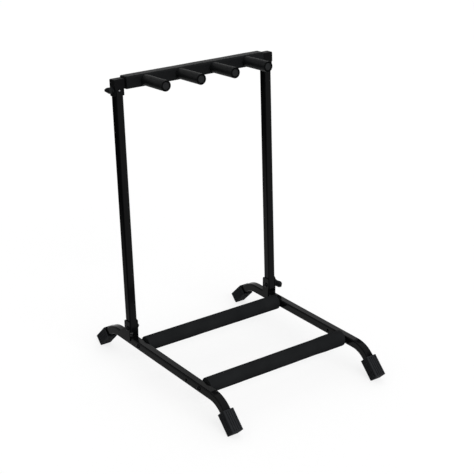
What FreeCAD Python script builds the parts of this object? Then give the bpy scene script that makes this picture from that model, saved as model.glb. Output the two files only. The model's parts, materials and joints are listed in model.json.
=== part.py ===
import FreeCAD, Part
import math
import os
import re

import Sketcher

# Folding multi guitar stand. All sizes are in mm and degrees.
# X runs to the right, the front faces -Y, Z is up and the feet stand on Z = 0.

SIZES = {
    "tube_side": 19.0,
    "tube_corner": 3.0,
    "tube_wall": 1.2,
    "post_spacing": 396.8,
    "rail_straight": 366.4,
    "bend_radius": 60.7,
    "leg_angle": 45.0,
    "leg_length": 40.0,
    "foot_side": 26.6,
    "foot_corner": 1.2,
    "foot_sole": 11.2,
    "foot_start": 1.4,
    "foot_flat": 1.5,
    "foot_fit": 0.1,
    "mouth_gap": 1.8,
    "mouth_depth": 2.5,
    "groove_count": 4,
    "groove_width": 2.2,
    "groove_depth": 1.4,
    "groove_pitch": 5.2,
    "groove_margin": 3.0,
    "hinge_setback": 50.9,
    "hinge_height": 21.0,
    "bracket_sheet": 2.0,
    "bracket_fit": 0.3,
    "bracket_grip": 0.15,
    "bracket_top": 17.5,
    "bracket_skirt": 9.0,
    "bracket_front": 8.5,
    "bracket_corner": 2.5,
    "ear_reach": 24.0,
    "ear_rise": 18.5,
    "ear_corner": 4.0,
    "stop_gap": 0.06,
    "web_clear": 0.5,
    "rivet_shank": 5.0,
    "rivet_head": 8.0,
    "rivet_head_height": 1.4,
    "rivet_tail": 2.5,
    "post_lean": 3.0,
    "post_tail": 8.5,
    "tilt_rise": 549.2,
    "plug_fit": 0.1,
    "plug_flange": 1.2,
    "plug_inset": 0.3,
    "plug_depth": 26.0,
    "bolt_diameter": 6.0,
    "bolt_play": 0.05,
    "hole_play": 0.1,
    "bolt_head": 11.0,
    "bolt_head_height": 3.0,
    "low_head": 9.0,
    "low_head_height": 2.0,
    "nut_flats": 10.0,
    "nut_height": 5.0,
    "bolt_end": 1.5,
    "bolt_tip_gap": 0.5,
    "head_screw_drop": 1.2,
    "head_screw_head": 5.5,
    "head_screw_cap": 1.6,
    "head_screw_shank": 3.2,
    "head_screw_reach": 5.2,
    "head_screw_tip_gap": 0.4,
    "rear_bar_setback": 39.0,
    "bar_pitch": 237.5,
    "round_tube": 16.0,
    "round_wall": 1.2,
    "insert_length": 24.0,
    "rest_foam": 35.0,
    "rest_foam_gap": 1.8,
    "rest_foam_edge": 1.5,
    "foam_fit": 0.1,
    "rail_screw_head": 11.0,
    "rail_screw_cap": 3.2,
    "rail_screw_grip": 18.0,
    "spare_hole_pitch": 46.0,
    "spare_hole": 6.6,
    "yoke_wall": 2.0,
    "yoke_fit": 0.3,
    "yoke_drop": 13.5,
    "yoke_crown": 10.5,
    "yoke_apron": 2.5,
    "yoke_corner": 3.0,
    "bar_rise": 13.0,
    "neck_bar_side": 16.0,
    "neck_bar_corner": 2.5,
    "spigot_length": 18.0,
    "spigot_fit": 0.15,
    "neck_foam": 27.5,
    "neck_foam_corner": 4.0,
    "neck_foam_left_clear": 2.8,
    "neck_foam_right_clear": 0.3,
    "peg_pitch": 90.0,
    "peg_reach": 93.6,
    "peg_foam": 24.2,
    "peg_foam_edge": 2.0,
    "peg_cap_recess": 0.5,
    "peg_cap_head": 1.5,
    "peg_cap_edge": 0.8,
    "peg_cap_shank": 9.0,
    "knob_gap": 0.1,
    "knob_hub": 13.0,
    "knob_base": 15.0,
    "knob_base_height": 3.0,
    "knob_hub_height": 10.0,
    "knob_edge": 1.0,
    "knob_reach": 13.0,
    "fold_knob_span": 36.6,
    "tilt_knob_span": 22.0,
    "knob_wing": 9.0,
    "knob_bore": 8.0,
    "fold_knob_turn": 11.6,
}

# Lengths and positions that follow from the sizes above.
DERIVED = {
    "rail_x": "post_spacing / 2",
    "rail_z": "bend_radius * (1 - cos(leg_angle)) + (leg_length + foot_sole) * sin(leg_angle)"
              " + foot_side / 2 * cos(leg_angle) - foot_flat",
    "foot_length": "leg_length + foot_sole - foot_start",
    "foot_y": "rail_straight / 2 + bend_radius * sin(leg_angle) + (leg_length + foot_sole) * cos(leg_angle)",
    "foot_z": "foot_side / 2 * cos(leg_angle) - foot_flat",
    "hinge_y": "rail_straight / 2 - hinge_setback",
    "hinge_z": "rail_z + tube_side / 2 + hinge_height",
    "rear_bar_y": "hinge_y - rear_bar_setback",
    "front_bar_y": "rear_bar_y - bar_pitch",
    "spare_y": "front_bar_y + spare_hole_pitch",
    "bore": "bolt_diameter / 2 + bolt_play",
    "bolt_hole": "bolt_diameter / 2 + hole_play",
    "bracket_half": "tube_side / 2 + bracket_fit + bracket_sheet",
    "web_top": "bracket_top - bracket_corner",
    "web_inner": "tube_side / 2 / cos(post_lean) + web_top * tan(post_lean) + stop_gap",
    "tail_radius": "sqrt((post_tail + plug_flange) ^ 2 + (tube_side / 2) ^ 2)",
    "web_bottom": "sqrt(abs(tail_radius ^ 2 - web_inner ^ 2)) + web_clear",
    "bracket_rear": "web_inner + bracket_sheet",
    "plug_side": "tube_side - 2 * tube_wall - 2 * plug_fit",
    "plug_corner": "tube_corner - tube_wall",
    "yoke_half": "tube_side / 2 + yoke_fit + yoke_wall",
    "yoke_front": "tube_side / 2 + yoke_fit + yoke_wall",
    "yoke_top": "bar_rise + yoke_crown",
    "cavity": "tube_side / 2 + yoke_fit",
    "spigot_side": "neck_bar_side - 2 * tube_wall - 2 * spigot_fit",
    "neck_bar_length": "post_spacing - 2 * yoke_half",
    "neck_foam_left_gap": "low_head_height + neck_foam_left_clear",
    "neck_foam_right_gap": "low_head_height + neck_foam_right_clear",
    "peg_end": "peg_reach - peg_cap_recess - peg_cap_head",
    "round_bore": "round_tube / 2 - round_wall",
}

doc = FreeCAD.newDocument("guitar_stand")
sheet = doc.addObject("Spreadsheet::Sheet", "Sizes")
for row, (alias, value) in enumerate(SIZES.items(), start=1):
    sheet.set("A%d" % row, alias)
    sheet.set("B%d" % row, str(value))
    sheet.setAlias("B%d" % row, alias)
doc.recompute()

nodes = []


def formula(text):
    """Write an expression with every size and derived length spelled out."""

    def spell(match):
        word = match.group(0)
        if word in DERIVED:
            return "(" + formula(DERIVED[word]) + ")"
        if word in SIZES:
            return "Sizes." + word
        return word

    return re.sub(r"[a-z][a-z_]*", spell, str(text))


def name_node(item, label):
    """Keep an object as one named piece of the stand."""
    item.Label = label
    nodes.append(item)
    return item


def new_body(name):
    """Start a solid of its own."""
    return doc.addObject("PartDesign::Body", name + "_body")


def sketch_on(body, role, offset="0"):
    """Start a sketch on a plane of the body, moved along the plane's normal."""
    plane = [item for item in body.Origin.OriginFeatures if item.Role == role][0]
    sketch = body.newObject("Sketcher::SketchObject", body.Name + "_sketch")
    sketch.AttachmentSupport = (plane, "")
    sketch.MapMode = "FlatFace"
    sketch.setExpression("AttachmentOffset.Base.z", formula(offset))
    return sketch


def bind(sketch, kind, places, text, start):
    """Add a measured constraint that follows an expression."""
    number = sketch.addConstraint(Sketcher.Constraint(kind, *places, start))
    sketch.setExpression("Constraints[%d]" % number, formula(text))


def polygon(sketch, corners):
    """Draw a closed outline through corners given as expressions."""
    count = len(corners)
    turn = 2 * math.pi / count
    guess = [FreeCAD.Vector(40 * math.cos(turn * i), 40 * math.sin(turn * i), 0) for i in range(count)]
    lines = [
        sketch.addGeometry(Part.LineSegment(guess[i], guess[(i + 1) % count]))
        for i in range(count)
    ]
    for i in range(count):
        sketch.addConstraint(Sketcher.Constraint("Coincident", lines[i], 2, lines[(i + 1) % count], 1))
    for line, point, (across, up) in zip(lines, guess, corners):
        bind(sketch, "DistanceX", (-1, 1, line, 1), across, point.x)
        bind(sketch, "DistanceY", (-1, 1, line, 1), up, point.y)


def box_outline(sketch, left, right, bottom, top):
    """Draw a rectangle between four expressions."""
    polygon(sketch, [(left, bottom), (right, bottom), (right, top), (left, top)])


def circle(sketch, across, up, radius):
    """Draw a circle whose centre and radius are expressions."""
    ring = sketch.addGeometry(Part.Circle(FreeCAD.Vector(1, 1, 0), FreeCAD.Vector(0, 0, 1), 2))
    bind(sketch, "DistanceX", (-1, 1, ring, 3), across, 1.0)
    bind(sketch, "DistanceY", (-1, 1, ring, 3), up, 1.0)
    bind(sketch, "Radius", (ring,), radius, 2.0)


def rounded_square(sketch, side, corner, up="0"):
    """Draw a square with round corners on the vertical axis of the sketch."""
    half = 9.0
    bend = 2.0
    flat = half - bend
    ends = [
        ((-flat, -half), (flat, -half)),
        ((half, -flat), (half, flat)),
        ((flat, half), (-flat, half)),
        ((-half, flat), (-half, -flat)),
    ]
    middles = [((flat, -flat), 270), ((flat, flat), 0), ((-flat, flat), 90), ((-flat, -flat), 180)]
    lines = [
        sketch.addGeometry(Part.LineSegment(FreeCAD.Vector(*first, 0), FreeCAD.Vector(*last, 0)))
        for first, last in ends
    ]
    arcs = []
    for middle, start in middles:
        ring = Part.Circle(FreeCAD.Vector(*middle, 0), FreeCAD.Vector(0, 0, 1), bend)
        arcs.append(sketch.addGeometry(
            Part.ArcOfCircle(ring, math.radians(start), math.radians(start + 90))))
    for i in range(4):
        sketch.addConstraint(Sketcher.Constraint("Tangent", lines[i], 2, arcs[i], 1))
        sketch.addConstraint(Sketcher.Constraint("Tangent", arcs[i], 2, lines[(i + 1) % 4], 1))
        sketch.addConstraint(Sketcher.Constraint("Vertical" if i % 2 else "Horizontal", lines[i]))
    for i in range(1, 4):
        sketch.addConstraint(Sketcher.Constraint("Equal", arcs[0], arcs[i]))
    bind(sketch, "Radius", (arcs[0],), corner, bend)
    bind(sketch, "DistanceX", (-1, 1, lines[1], 1), "(%s) / 2" % side, half)
    bind(sketch, "DistanceX", (lines[3], 1, lines[1], 2), side, 2 * half)
    bind(sketch, "DistanceY", (-1, 1, lines[2], 1), "%s + (%s) / 2" % (up, side), half)
    bind(sketch, "DistanceY", (lines[0], 2, lines[2], 1), side, 2 * half)


def grow(body, sketch, length, both=False, back=False):
    """Extrude a sketch into material."""
    pad = body.newObject("PartDesign::Pad", body.Name + "_pad")
    pad.Profile = sketch
    pad.Reversed = back
    if both:
        pad.SideType = "Symmetric"
    pad.setExpression("Length", formula(length))
    return settle(body, pad)


def cut(body, sketch, length=None, both=False, back=False):
    """Take the extrusion of a sketch away, right through unless a length is given."""
    before = body.Tip.Shape.Volume
    pocket = body.newObject("PartDesign::Pocket", body.Name + "_pocket")
    pocket.Profile = sketch
    pocket.Reversed = back
    if both:
        pocket.SideType = "Symmetric"
    if length is None:
        pocket.Type = "ThroughAll"
    else:
        pocket.setExpression("Length", formula(length))
    settle(body, pocket)
    if pocket.Shape.Volume >= before:
        raise RuntimeError("a cut in %s took nothing away" % body.Name)
    return pocket


def settle(body, feature):
    """Make a feature the newest state of its body."""
    body.Tip = feature
    doc.recompute()
    return feature


def spin(body, sketch, axis):
    """Turn a sketch about one of its own axes."""
    turned = body.newObject("PartDesign::Revolution", body.Name + "_turn")
    turned.Profile = sketch
    turned.ReferenceAxis = (sketch, [axis])
    turned.Angle = 360.0
    return settle(body, turned)


def round_edges(body, radius, wanted):
    """Round the edges of the body that the test picks."""
    base = body.Tip
    names = ["Edge%d" % (i + 1) for i, edge in enumerate(base.Shape.Edges) if wanted(edge)]
    fillet = body.newObject("PartDesign::Fillet", body.Name + "_fillet")
    fillet.Base = (base, names)
    fillet.setExpression("Radius", formula(radius))
    return settle(body, fillet)


def turned_piece(name, axis, corners):
    """Make a round piece from a half section of (along, radius) corners."""
    body = new_body(name)
    if axis == "X":
        sketch = sketch_on(body, "XY_Plane")
        polygon(sketch, corners)
        spin(body, sketch, "H_Axis")
    elif axis == "Y":
        sketch = sketch_on(body, "XY_Plane")
        polygon(sketch, [(radius, along) for along, radius in corners])
        spin(body, sketch, "V_Axis")
    else:
        sketch = sketch_on(body, "XZ_Plane")
        polygon(sketch, [(radius, along) for along, radius in corners])
        spin(body, sketch, "V_Axis")
    return body


def tube_section(first, last, outer, inner):
    """List the half section of a plain round tube."""
    return [(first, inner), (last, inner), (last, outer), (first, outer)]


def place(item, across, along, up, axis=None, angle="0"):
    """Set a piece in the stand's frame."""
    turn = FreeCAD.Rotation()
    if axis is not None:
        turn = FreeCAD.Rotation(FreeCAD.Vector(axis, 0, 0), 20)
    item.Placement = FreeCAD.Placement(FreeCAD.Vector(), turn)
    item.setExpression("Placement.Base.x", formula(across))
    item.setExpression("Placement.Base.y", formula(along))
    item.setExpression("Placement.Base.z", formula(up))
    if axis is not None:
        item.setExpression("Placement.Rotation.Angle", formula(angle))
    return item


def place_on_post(item, across, rise):
    """Set a piece on the leaning line of the posts, a rise above the hinge axis."""
    along = "hinge_y + (%s) * sin(post_lean)" % rise
    up = "hinge_z + (%s) * cos(post_lean)" % rise
    return place(item, across, along, up, -1, "post_lean")


def group(label, items):
    """Keep a set of like fasteners as one named piece."""
    bundle = doc.addObject("Part::Compound", label)
    bundle.Links = items
    return name_node(bundle, label)


# Rails bent down into feet at both ends

def rail_path(body):
    """Draw half of a rail's centre line, from its middle to the front foot."""
    sketch = sketch_on(body, "YZ_Plane")
    reach = sheet.rail_straight / 2
    radius = sheet.bend_radius
    angle = math.radians(sheet.leg_angle)
    end = FreeCAD.Vector(-reach - radius * math.sin(angle), -radius * (1 - math.cos(angle)), 0)
    toe = end - FreeCAD.Vector(math.cos(angle), math.sin(angle), 0) * sheet.leg_length
    straight = sketch.addGeometry(Part.LineSegment(FreeCAD.Vector(), FreeCAD.Vector(-reach, 0, 0)))
    ring = Part.Circle(FreeCAD.Vector(-reach, -radius, 0), FreeCAD.Vector(0, 0, 1), radius)
    bend = sketch.addGeometry(Part.ArcOfCircle(ring, math.pi / 2, math.pi / 2 + angle))
    leg = sketch.addGeometry(Part.LineSegment(end, toe))
    sketch.addConstraint(Sketcher.Constraint("Coincident", straight, 1, -1, 1))
    sketch.addConstraint(Sketcher.Constraint("Horizontal", straight))
    sketch.addConstraint(Sketcher.Constraint("Tangent", straight, 2, bend, 1))
    sketch.addConstraint(Sketcher.Constraint("Tangent", bend, 2, leg, 1))
    bind(sketch, "DistanceX", (-1, 1, straight, 2), "-rail_straight / 2", -reach)
    bind(sketch, "Radius", (bend,), "bend_radius", radius)
    bind(sketch, "Angle", (bend,), "leg_angle", angle)
    bind(sketch, "Distance", (leg,), "leg_length", sheet.leg_length)
    return sketch


def make_rail(label, side):
    """Make one base rail from square tube."""
    body = new_body(label)
    path = rail_path(body)
    section = sketch_on(body, "XZ_Plane")
    rounded_square(section, "tube_side", "tube_corner")
    rounded_square(section, "tube_side - 2 * tube_wall", "tube_corner - tube_wall")
    sweep = body.newObject("PartDesign::AdditivePipe", label + "_sweep")
    sweep.Profile = (section, [""])
    sweep.Spine = (path, [""])
    settle(body, sweep)
    whole = body.newObject("PartDesign::Mirrored", label + "_whole")
    whole.Originals = [sweep]
    whole.MirrorPlane = ([item for item in body.Origin.OriginFeatures if item.Role == "XZ_Plane"][0], [""])
    settle(body, whole)
    holes = sketch_on(body, "YZ_Plane")
    circle(holes, "rear_bar_y", "0", "bolt_hole")
    circle(holes, "front_bar_y", "0", "bolt_hole")
    circle(holes, "spare_y", "0", "spare_hole / 2")
    cut(body, holes, both=True)
    rivet = sketch_on(body, "XY_Plane", "tube_side / 2 + tube_wall")
    circle(rivet, "0", "hinge_y", "rivet_shank / 2 + hole_play")
    cut(body, rivet, "3 * tube_wall")
    place(body, "%d * rail_x" % side, "0", "rail_z")
    name_node(body, label)


make_rail("left_base_rail", -1)
make_rail("right_base_rail", 1)


def make_foot(label, side, toe):
    """Make one grooved rubber boot, toe -1 at the front and 1 at the rear."""
    body = new_body(label)
    block = sketch_on(body, "XY_Plane")
    rounded_square(block, "foot_side", "foot_corner")
    grow(body, block, "foot_length")
    socket = sketch_on(body, "XY_Plane", "foot_sole")
    rounded_square(socket, "tube_side + 2 * foot_fit", "tube_corner")
    cut(body, socket, back=True)
    mouth = sketch_on(body, "XY_Plane", "foot_length - mouth_depth")
    rounded_square(mouth, "tube_side + 2 * mouth_gap", "tube_corner + mouth_gap")
    cut(body, mouth, back=True)
    trim = sketch_on(body, "YZ_Plane")
    edge = "%d * foot_side / 2" % -toe
    polygon(trim, [
        (edge, "0"),
        ("%s + %d * foot_flat / cos(leg_angle)" % (edge, toe), "0"),
        (edge, "foot_flat / sin(leg_angle)"),
    ])
    cut(body, trim, both=True)
    grooves = sketch_on(body, "XY_Plane", "groove_margin")
    count = int(sheet.groove_count)
    for i in range(count):
        middle = "(%d - (groove_count - 1) / 2) * groove_pitch" % i
        box_outline(grooves, middle + " - groove_width / 2", middle + " + groove_width / 2",
                    "foot_side / 2 - groove_depth", "foot_side / 2 + groove_depth")
    first = cut(body, grooves, "foot_length - 2 * groove_margin", back=True)
    around = body.newObject("PartDesign::PolarPattern", label + "_faces")
    around.Originals = [first]
    around.Axis = (grooves, ["N_Axis"])
    around.Angle = 360
    around.Occurrences = 4
    settle(body, around)
    place(body, "%d * rail_x" % side, "%d * foot_y" % toe, "foot_z", toe, "90 - leg_angle")
    name_node(body, label)


make_foot("front_left_foot", -1, -1)
make_foot("front_right_foot", 1, -1)
make_foot("rear_left_foot", -1, 1)
make_foot("rear_right_foot", 1, 1)


# Foam covered bars across the base

def make_cross_bar(label, along):
    """Make a round cross bar and its foam sleeve."""
    reach = "(rail_x - tube_side / 2)"
    core = turned_piece(label, "X", tube_section("-" + reach, reach, "round_tube / 2", "round_bore"))
    place(core, "0", along, "rail_z")
    name_node(core, label)
    cover = "(rail_x - tube_side / 2 - rest_foam_gap)"
    edge = "rest_foam / 2 - rest_foam_edge"
    bore = "round_tube / 2 + foam_fit"
    sleeve = turned_piece(label + "_foam", "X", [
        ("-" + cover, bore),
        (cover, bore),
        (cover, edge),
        (cover + " - rest_foam_edge", "rest_foam / 2"),
        ("-" + cover + " + rest_foam_edge", "rest_foam / 2"),
        ("-" + cover, edge),
    ])
    place(sleeve, "0", along, "rail_z")
    name_node(sleeve, label + "_foam")


make_cross_bar("rear_cross_bar", "rear_bar_y")
make_cross_bar("front_cross_bar", "front_bar_y")

inserts = []
rail_screws = []
for spot, along_text in (("rear", "rear_bar_y"), ("front", "front_bar_y")):
    for side_name, sign in (("left", -1), ("right", 1)):
        inner = "%d * (rail_x - tube_side / 2)" % sign
        outer = "%d * (rail_x + tube_side / 2)" % sign
        insert = turned_piece(spot + side_name + "_insert", "X", tube_section(
            inner, "%s - %d * insert_length" % (inner, sign), "round_bore", "bore"))
        inserts.append(place(insert, "0", along_text, "rail_z"))
        head_end = "%s + %d * rail_screw_cap" % (outer, sign)
        head_bend = "%s + %d * rail_screw_cap / 2" % (outer, sign)
        screw = turned_piece(spot + side_name + "_screw", "X", [
            (head_end, "0"),
            (head_end, "rail_screw_head * 0.32"),
            (head_bend, "rail_screw_head / 2"),
            (outer, "rail_screw_head / 2"),
            (outer, "bolt_diameter / 2"),
            ("%s - %d * rail_screw_grip" % (inner, sign), "bolt_diameter / 2"),
            ("%s - %d * rail_screw_grip" % (inner, sign), "0"),
        ])
        rail_screws.append(place(screw, "0", along_text, "rail_z"))
group("cross_bar_inserts", inserts)
group("cross_bar_screws", rail_screws)


# Hinge brackets that carry the posts

def make_bracket(label, side):
    """Make one bracket that straddles a rail, its outer cheek drawn back along the rail as an ear."""
    body = new_body(label)
    foot = "-(hinge_height + bracket_skirt)"
    seat = "-hinge_height"
    outline = sketch_on(body, "YZ_Plane")
    polygon(outline, [
        ("bracket_rear", foot),
        ("bracket_rear", "bracket_top - bracket_corner"),
        ("bracket_rear - bracket_corner", "bracket_top"),
        ("bracket_corner - bracket_front", "bracket_top"),
        ("-bracket_front", "bracket_top - bracket_corner"),
        ("-bracket_front", foot),
    ])
    grow(body, outline, "2 * bracket_half", both=True)
    inside = sketch_on(body, "XZ_Plane")
    box_outline(inside, "-(tube_side / 2 + bracket_fit)", "tube_side / 2 + bracket_fit",
                seat + " + bracket_sheet", "bracket_top + bracket_sheet")
    cut(body, inside, both=True)
    saddle = sketch_on(body, "XZ_Plane")
    box_outline(saddle, "-(tube_side / 2 + bracket_grip)", "tube_side / 2 + bracket_grip",
                foot + " - bracket_sheet", seat)
    cut(body, saddle, both=True)
    web = sketch_on(body, "XZ_Plane", "-web_inner")
    box_outline(web, "-(tube_side / 2 + bracket_fit + bracket_sheet / 2)",
                "tube_side / 2 + bracket_fit + bracket_sheet / 2", "web_bottom", "web_top")
    grow(body, web, "bracket_sheet", back=True)
    ear = sketch_on(body, "YZ_Plane", "%d * bracket_half" % side)
    polygon(ear, [
        ("bracket_rear - bracket_sheet", foot),
        ("bracket_rear + ear_reach - ear_corner", foot),
        ("bracket_rear + ear_reach", foot + " + ear_corner"),
        ("bracket_rear + ear_reach", seat),
        ("bracket_rear", seat + " + ear_rise"),
        ("bracket_rear - bracket_sheet", seat + " + ear_rise"),
    ])
    grow(body, ear, "bracket_sheet", back=side > 0)
    axle = sketch_on(body, "YZ_Plane")
    circle(axle, "0", "0", "bolt_hole")
    cut(body, axle, both=True)
    rivet = sketch_on(body, "XY_Plane", seat + " + 1.5 * bracket_sheet")
    circle(rivet, "0", "0", "rivet_shank / 2 + hole_play")
    cut(body, rivet, "2 * bracket_sheet")
    place(body, "%d * rail_x" % side, "hinge_y", "hinge_z")
    name_node(body, label)


make_bracket("left_hinge_bracket", -1)
make_bracket("right_hinge_bracket", 1)

rivets = []
for side_name, sign in (("left", -1), ("right", 1)):
    rivet_piece = turned_piece(side_name + "_rivet", "Z", [
        ("bracket_sheet + rivet_head_height", "0"),
        ("bracket_sheet + rivet_head_height", "rivet_head * 0.3"),
        ("bracket_sheet + rivet_head_height / 2", "rivet_head / 2"),
        ("bracket_sheet", "rivet_head / 2"),
        ("bracket_sheet", "rivet_shank / 2"),
        ("-tube_wall - rivet_tail", "rivet_shank / 2"),
        ("-tube_wall - rivet_tail", "0"),
    ])
    rivets.append(place(rivet_piece, "%d * rail_x" % sign, "hinge_y", "rail_z + tube_side / 2"))
group("bracket_rivets", rivets)


def bolt_section(head_at, head_sign, head_size, head_height, end):
    """List the half section of a round headed bolt along X."""
    top = "%s + %d * (%s)" % (head_at, head_sign, head_height)
    shoulder = "%s + %d * (%s) * 0.45" % (head_at, head_sign, head_height)
    return [
        (top, "0"),
        (top, "(%s) * 0.3" % head_size),
        (shoulder, "(%s) / 2" % head_size),
        (head_at, "(%s) / 2" % head_size),
        (head_at, "bolt_diameter / 2"),
        (end, "bolt_diameter / 2"),
        (end, "0"),
    ]


def make_nut(label, first, sign):
    """Make a hexagon nut on the X axis."""
    body = new_body(label)
    sketch = sketch_on(body, "YZ_Plane", first)
    corners = []
    for i in range(6):
        corners.append(("nut_flats / sqrt(3) * cos(%d)" % (60 * i), "nut_flats / sqrt(3) * sin(%d)" % (60 * i)))
    polygon(sketch, corners)
    circle(sketch, "0", "0", "bore")
    grow(body, sketch, "nut_height", back=sign < 0)
    return body


left_bolt = turned_piece("left_hinge_bolt", "X", bolt_section(
    "-bracket_half", -1, "bolt_head", "bolt_head_height", "bracket_half + nut_height + bolt_end"))
name_node(place(left_bolt, "-rail_x", "hinge_y", "hinge_z"), "left_hinge_bolt")
left_nut = make_nut("left_hinge_nut", "bracket_half", 1)
name_node(place(left_nut, "-rail_x", "hinge_y", "hinge_z"), "left_hinge_nut")
right_bolt = turned_piece("right_hinge_bolt", "X", bolt_section(
    "-bracket_half", -1, "bolt_head", "bolt_head_height", "bracket_half + knob_gap + knob_bore - bolt_tip_gap"))
name_node(place(right_bolt, "rail_x", "hinge_y", "hinge_z"), "right_hinge_bolt")


def make_knob(label, out, span):
    """Make a wing knob whose blind bore takes a bolt along X."""
    body = new_body(label)
    half_span = "%s / 2" % span

    def at(text):
        return "%d * (bracket_half + knob_gap + %s)" % (out, text)

    wings = sketch_on(body, "XY_Plane")
    polygon(wings, [
        (at("knob_edge"), "-knob_hub * 0.4"),
        (at("knob_reach * 0.42"), "-(%s) * 0.77" % half_span),
        (at("knob_reach * 0.95"), "-(%s)" % half_span),
        (at("knob_reach"), "-(%s) * 0.75" % half_span),
        (at("knob_hub_height - knob_edge"), "-knob_hub * 0.3"),
        (at("knob_hub_height - knob_edge"), "knob_hub * 0.3"),
        (at("knob_reach"), "%s * 0.75" % half_span),
        (at("knob_reach * 0.95"), half_span),
        (at("knob_reach * 0.42"), "%s * 0.77" % half_span),
        (at("knob_edge"), "knob_hub * 0.4"),
    ])
    grow(body, wings, "knob_wing", both=True)
    hub = sketch_on(body, "XY_Plane")
    polygon(hub, [
        (at("0"), "0"),
        (at("0"), "knob_base / 2"),
        (at("knob_base_height"), "knob_base / 2"),
        (at("knob_base_height + knob_edge"), "knob_hub / 2"),
        (at("knob_hub_height - 2 * knob_edge"), "knob_hub / 2 - knob_edge"),
        (at("knob_hub_height"), "knob_hub / 2 - 3 * knob_edge"),
        (at("knob_hub_height"), "0"),
    ])
    spin(body, hub, "H_Axis")
    bore = sketch_on(body, "YZ_Plane", at("0"))
    circle(bore, "0", "0", "bore")
    cut(body, bore, "knob_bore", back=out > 0)
    return body


fold_knob = make_knob("fold_knob", 1, "fold_knob_span")
name_node(place(fold_knob, "rail_x", "hinge_y", "hinge_z", 1, "fold_knob_turn"), "fold_knob")


# Leaning posts

def dome_cut(body, middle):
    """Round the upper end of a post piece about a cross axis."""
    radius = sheet.tube_side / 2
    height = sheet.tilt_rise
    wide = radius + sheet.tube_corner
    spots = [(radius, 0), (wide, 0), (wide, wide), (-wide, wide), (-wide, 0), (-radius, 0)]
    points = [FreeCAD.Vector(across, height + up, 0) for across, up in spots]
    sketch = sketch_on(body, "YZ_Plane")
    lines = [sketch.addGeometry(Part.LineSegment(points[i], points[i + 1])) for i in range(5)]
    ring = Part.Circle(FreeCAD.Vector(0, height, 0), FreeCAD.Vector(0, 0, 1), radius)
    arc = sketch.addGeometry(Part.ArcOfCircle(ring, 0, math.pi))
    for i in range(4):
        sketch.addConstraint(Sketcher.Constraint("Coincident", lines[i], 2, lines[i + 1], 1))
    sketch.addConstraint(Sketcher.Constraint("Coincident", arc, 1, lines[0], 1))
    sketch.addConstraint(Sketcher.Constraint("Coincident", arc, 2, lines[4], 2))
    for line, flat in zip(lines, ("Horizontal", "Vertical", "Horizontal", "Vertical", "Horizontal")):
        sketch.addConstraint(Sketcher.Constraint(flat, line))
    sketch.addConstraint(Sketcher.Constraint("PointOnObject", arc, 3, -2))
    bind(sketch, "DistanceY", (-1, 1, arc, 3), middle, height)
    bind(sketch, "Radius", (arc,), "tube_side / 2", radius)
    bind(sketch, "DistanceY", (-1, 1, lines[0], 1), middle, height)
    bind(sketch, "DistanceY", (-1, 1, lines[4], 2), middle, height)
    bind(sketch, "DistanceX", (-1, 1, lines[1], 1), "tube_side / 2 + tube_corner", wide)
    bind(sketch, "DistanceX", (-1, 1, lines[3], 1), "-tube_side / 2 - tube_corner", -wide)
    bind(sketch, "DistanceY", (-1, 1, lines[2], 1), middle + " + tube_side / 2 + tube_corner", height + wide)
    cut(body, sketch, both=True)


def make_post(side_name, side):
    """Make one post with its lower bush and its upper plug."""
    tube = new_body(side_name + "_post")
    section = sketch_on(tube, "XY_Plane", "-post_tail")
    rounded_square(section, "tube_side", "tube_corner")
    rounded_square(section, "tube_side - 2 * tube_wall", "tube_corner - tube_wall")
    grow(tube, section, "post_tail + tilt_rise + tube_side / 2")
    dome_cut(tube, "tilt_rise")
    axles = sketch_on(tube, "YZ_Plane")
    circle(axles, "0", "0", "bolt_hole")
    circle(axles, "0", "tilt_rise", "bolt_hole")
    cut(tube, axles, both=True)
    pilot = sketch_on(tube, "XZ_Plane")
    circle(pilot, "0", "tilt_rise - head_screw_drop", "head_screw_shank / 2 + hole_play")
    cut(tube, pilot, back=True)
    name_node(place_on_post(tube, "%d * rail_x" % side, "0"), side_name + "_post")

    bush = new_body(side_name + "_post_bush")
    flange = sketch_on(bush, "XY_Plane", "-(post_tail + plug_flange)")
    rounded_square(flange, "tube_side - 2 * plug_inset", "tube_corner")
    grow(bush, flange, "plug_flange")
    shank = sketch_on(bush, "XY_Plane", "-(post_tail + plug_flange / 2)")
    rounded_square(shank, "plug_side", "plug_corner")
    grow(bush, shank, "plug_depth")
    axle = sketch_on(bush, "YZ_Plane")
    circle(axle, "0", "0", "bore")
    cut(bush, axle, both=True)
    name_node(place_on_post(bush, "%d * rail_x" % side, "0"), side_name + "_post_bush")

    plug = new_body(side_name + "_post_plug")
    core = sketch_on(plug, "XY_Plane", "tilt_rise - plug_depth")
    rounded_square(core, "plug_side", "plug_corner")
    grow(plug, core, "plug_depth + tube_side / 2")
    dome_cut(plug, "tilt_rise")
    pivot = sketch_on(plug, "YZ_Plane")
    circle(pivot, "0", "tilt_rise", "bore")
    cut(plug, pivot, both=True)
    thread = sketch_on(plug, "XZ_Plane", "tube_side / 2 - head_screw_reach - head_screw_tip_gap")
    circle(thread, "0", "tilt_rise - head_screw_drop", "head_screw_shank / 2 + bolt_play")
    cut(plug, thread, back=True)
    name_node(place_on_post(plug, "%d * rail_x" % side, "0"), side_name + "_post_plug")


make_post("left", -1)
make_post("right", 1)

head_screws = []
for side_name, sign in (("left", -1), ("right", 1)):
    front = "-tube_side / 2"
    head_screw = turned_piece(side_name + "_head_screw", "Y", [
        (front + " - head_screw_cap", "0"),
        (front + " - head_screw_cap", "head_screw_head * 0.28"),
        (front + " - head_screw_cap * 0.5", "head_screw_head / 2"),
        (front, "head_screw_head / 2"),
        (front, "head_screw_shank / 2"),
        (front + " + head_screw_reach", "head_screw_shank / 2"),
        (front + " + head_screw_reach", "0"),
    ])
    head_screws.append(place_on_post(head_screw, "%d * rail_x" % sign, "tilt_rise - head_screw_drop"))
group("post_plug_screws", head_screws)


# Neck rest that tilts on the posts

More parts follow.
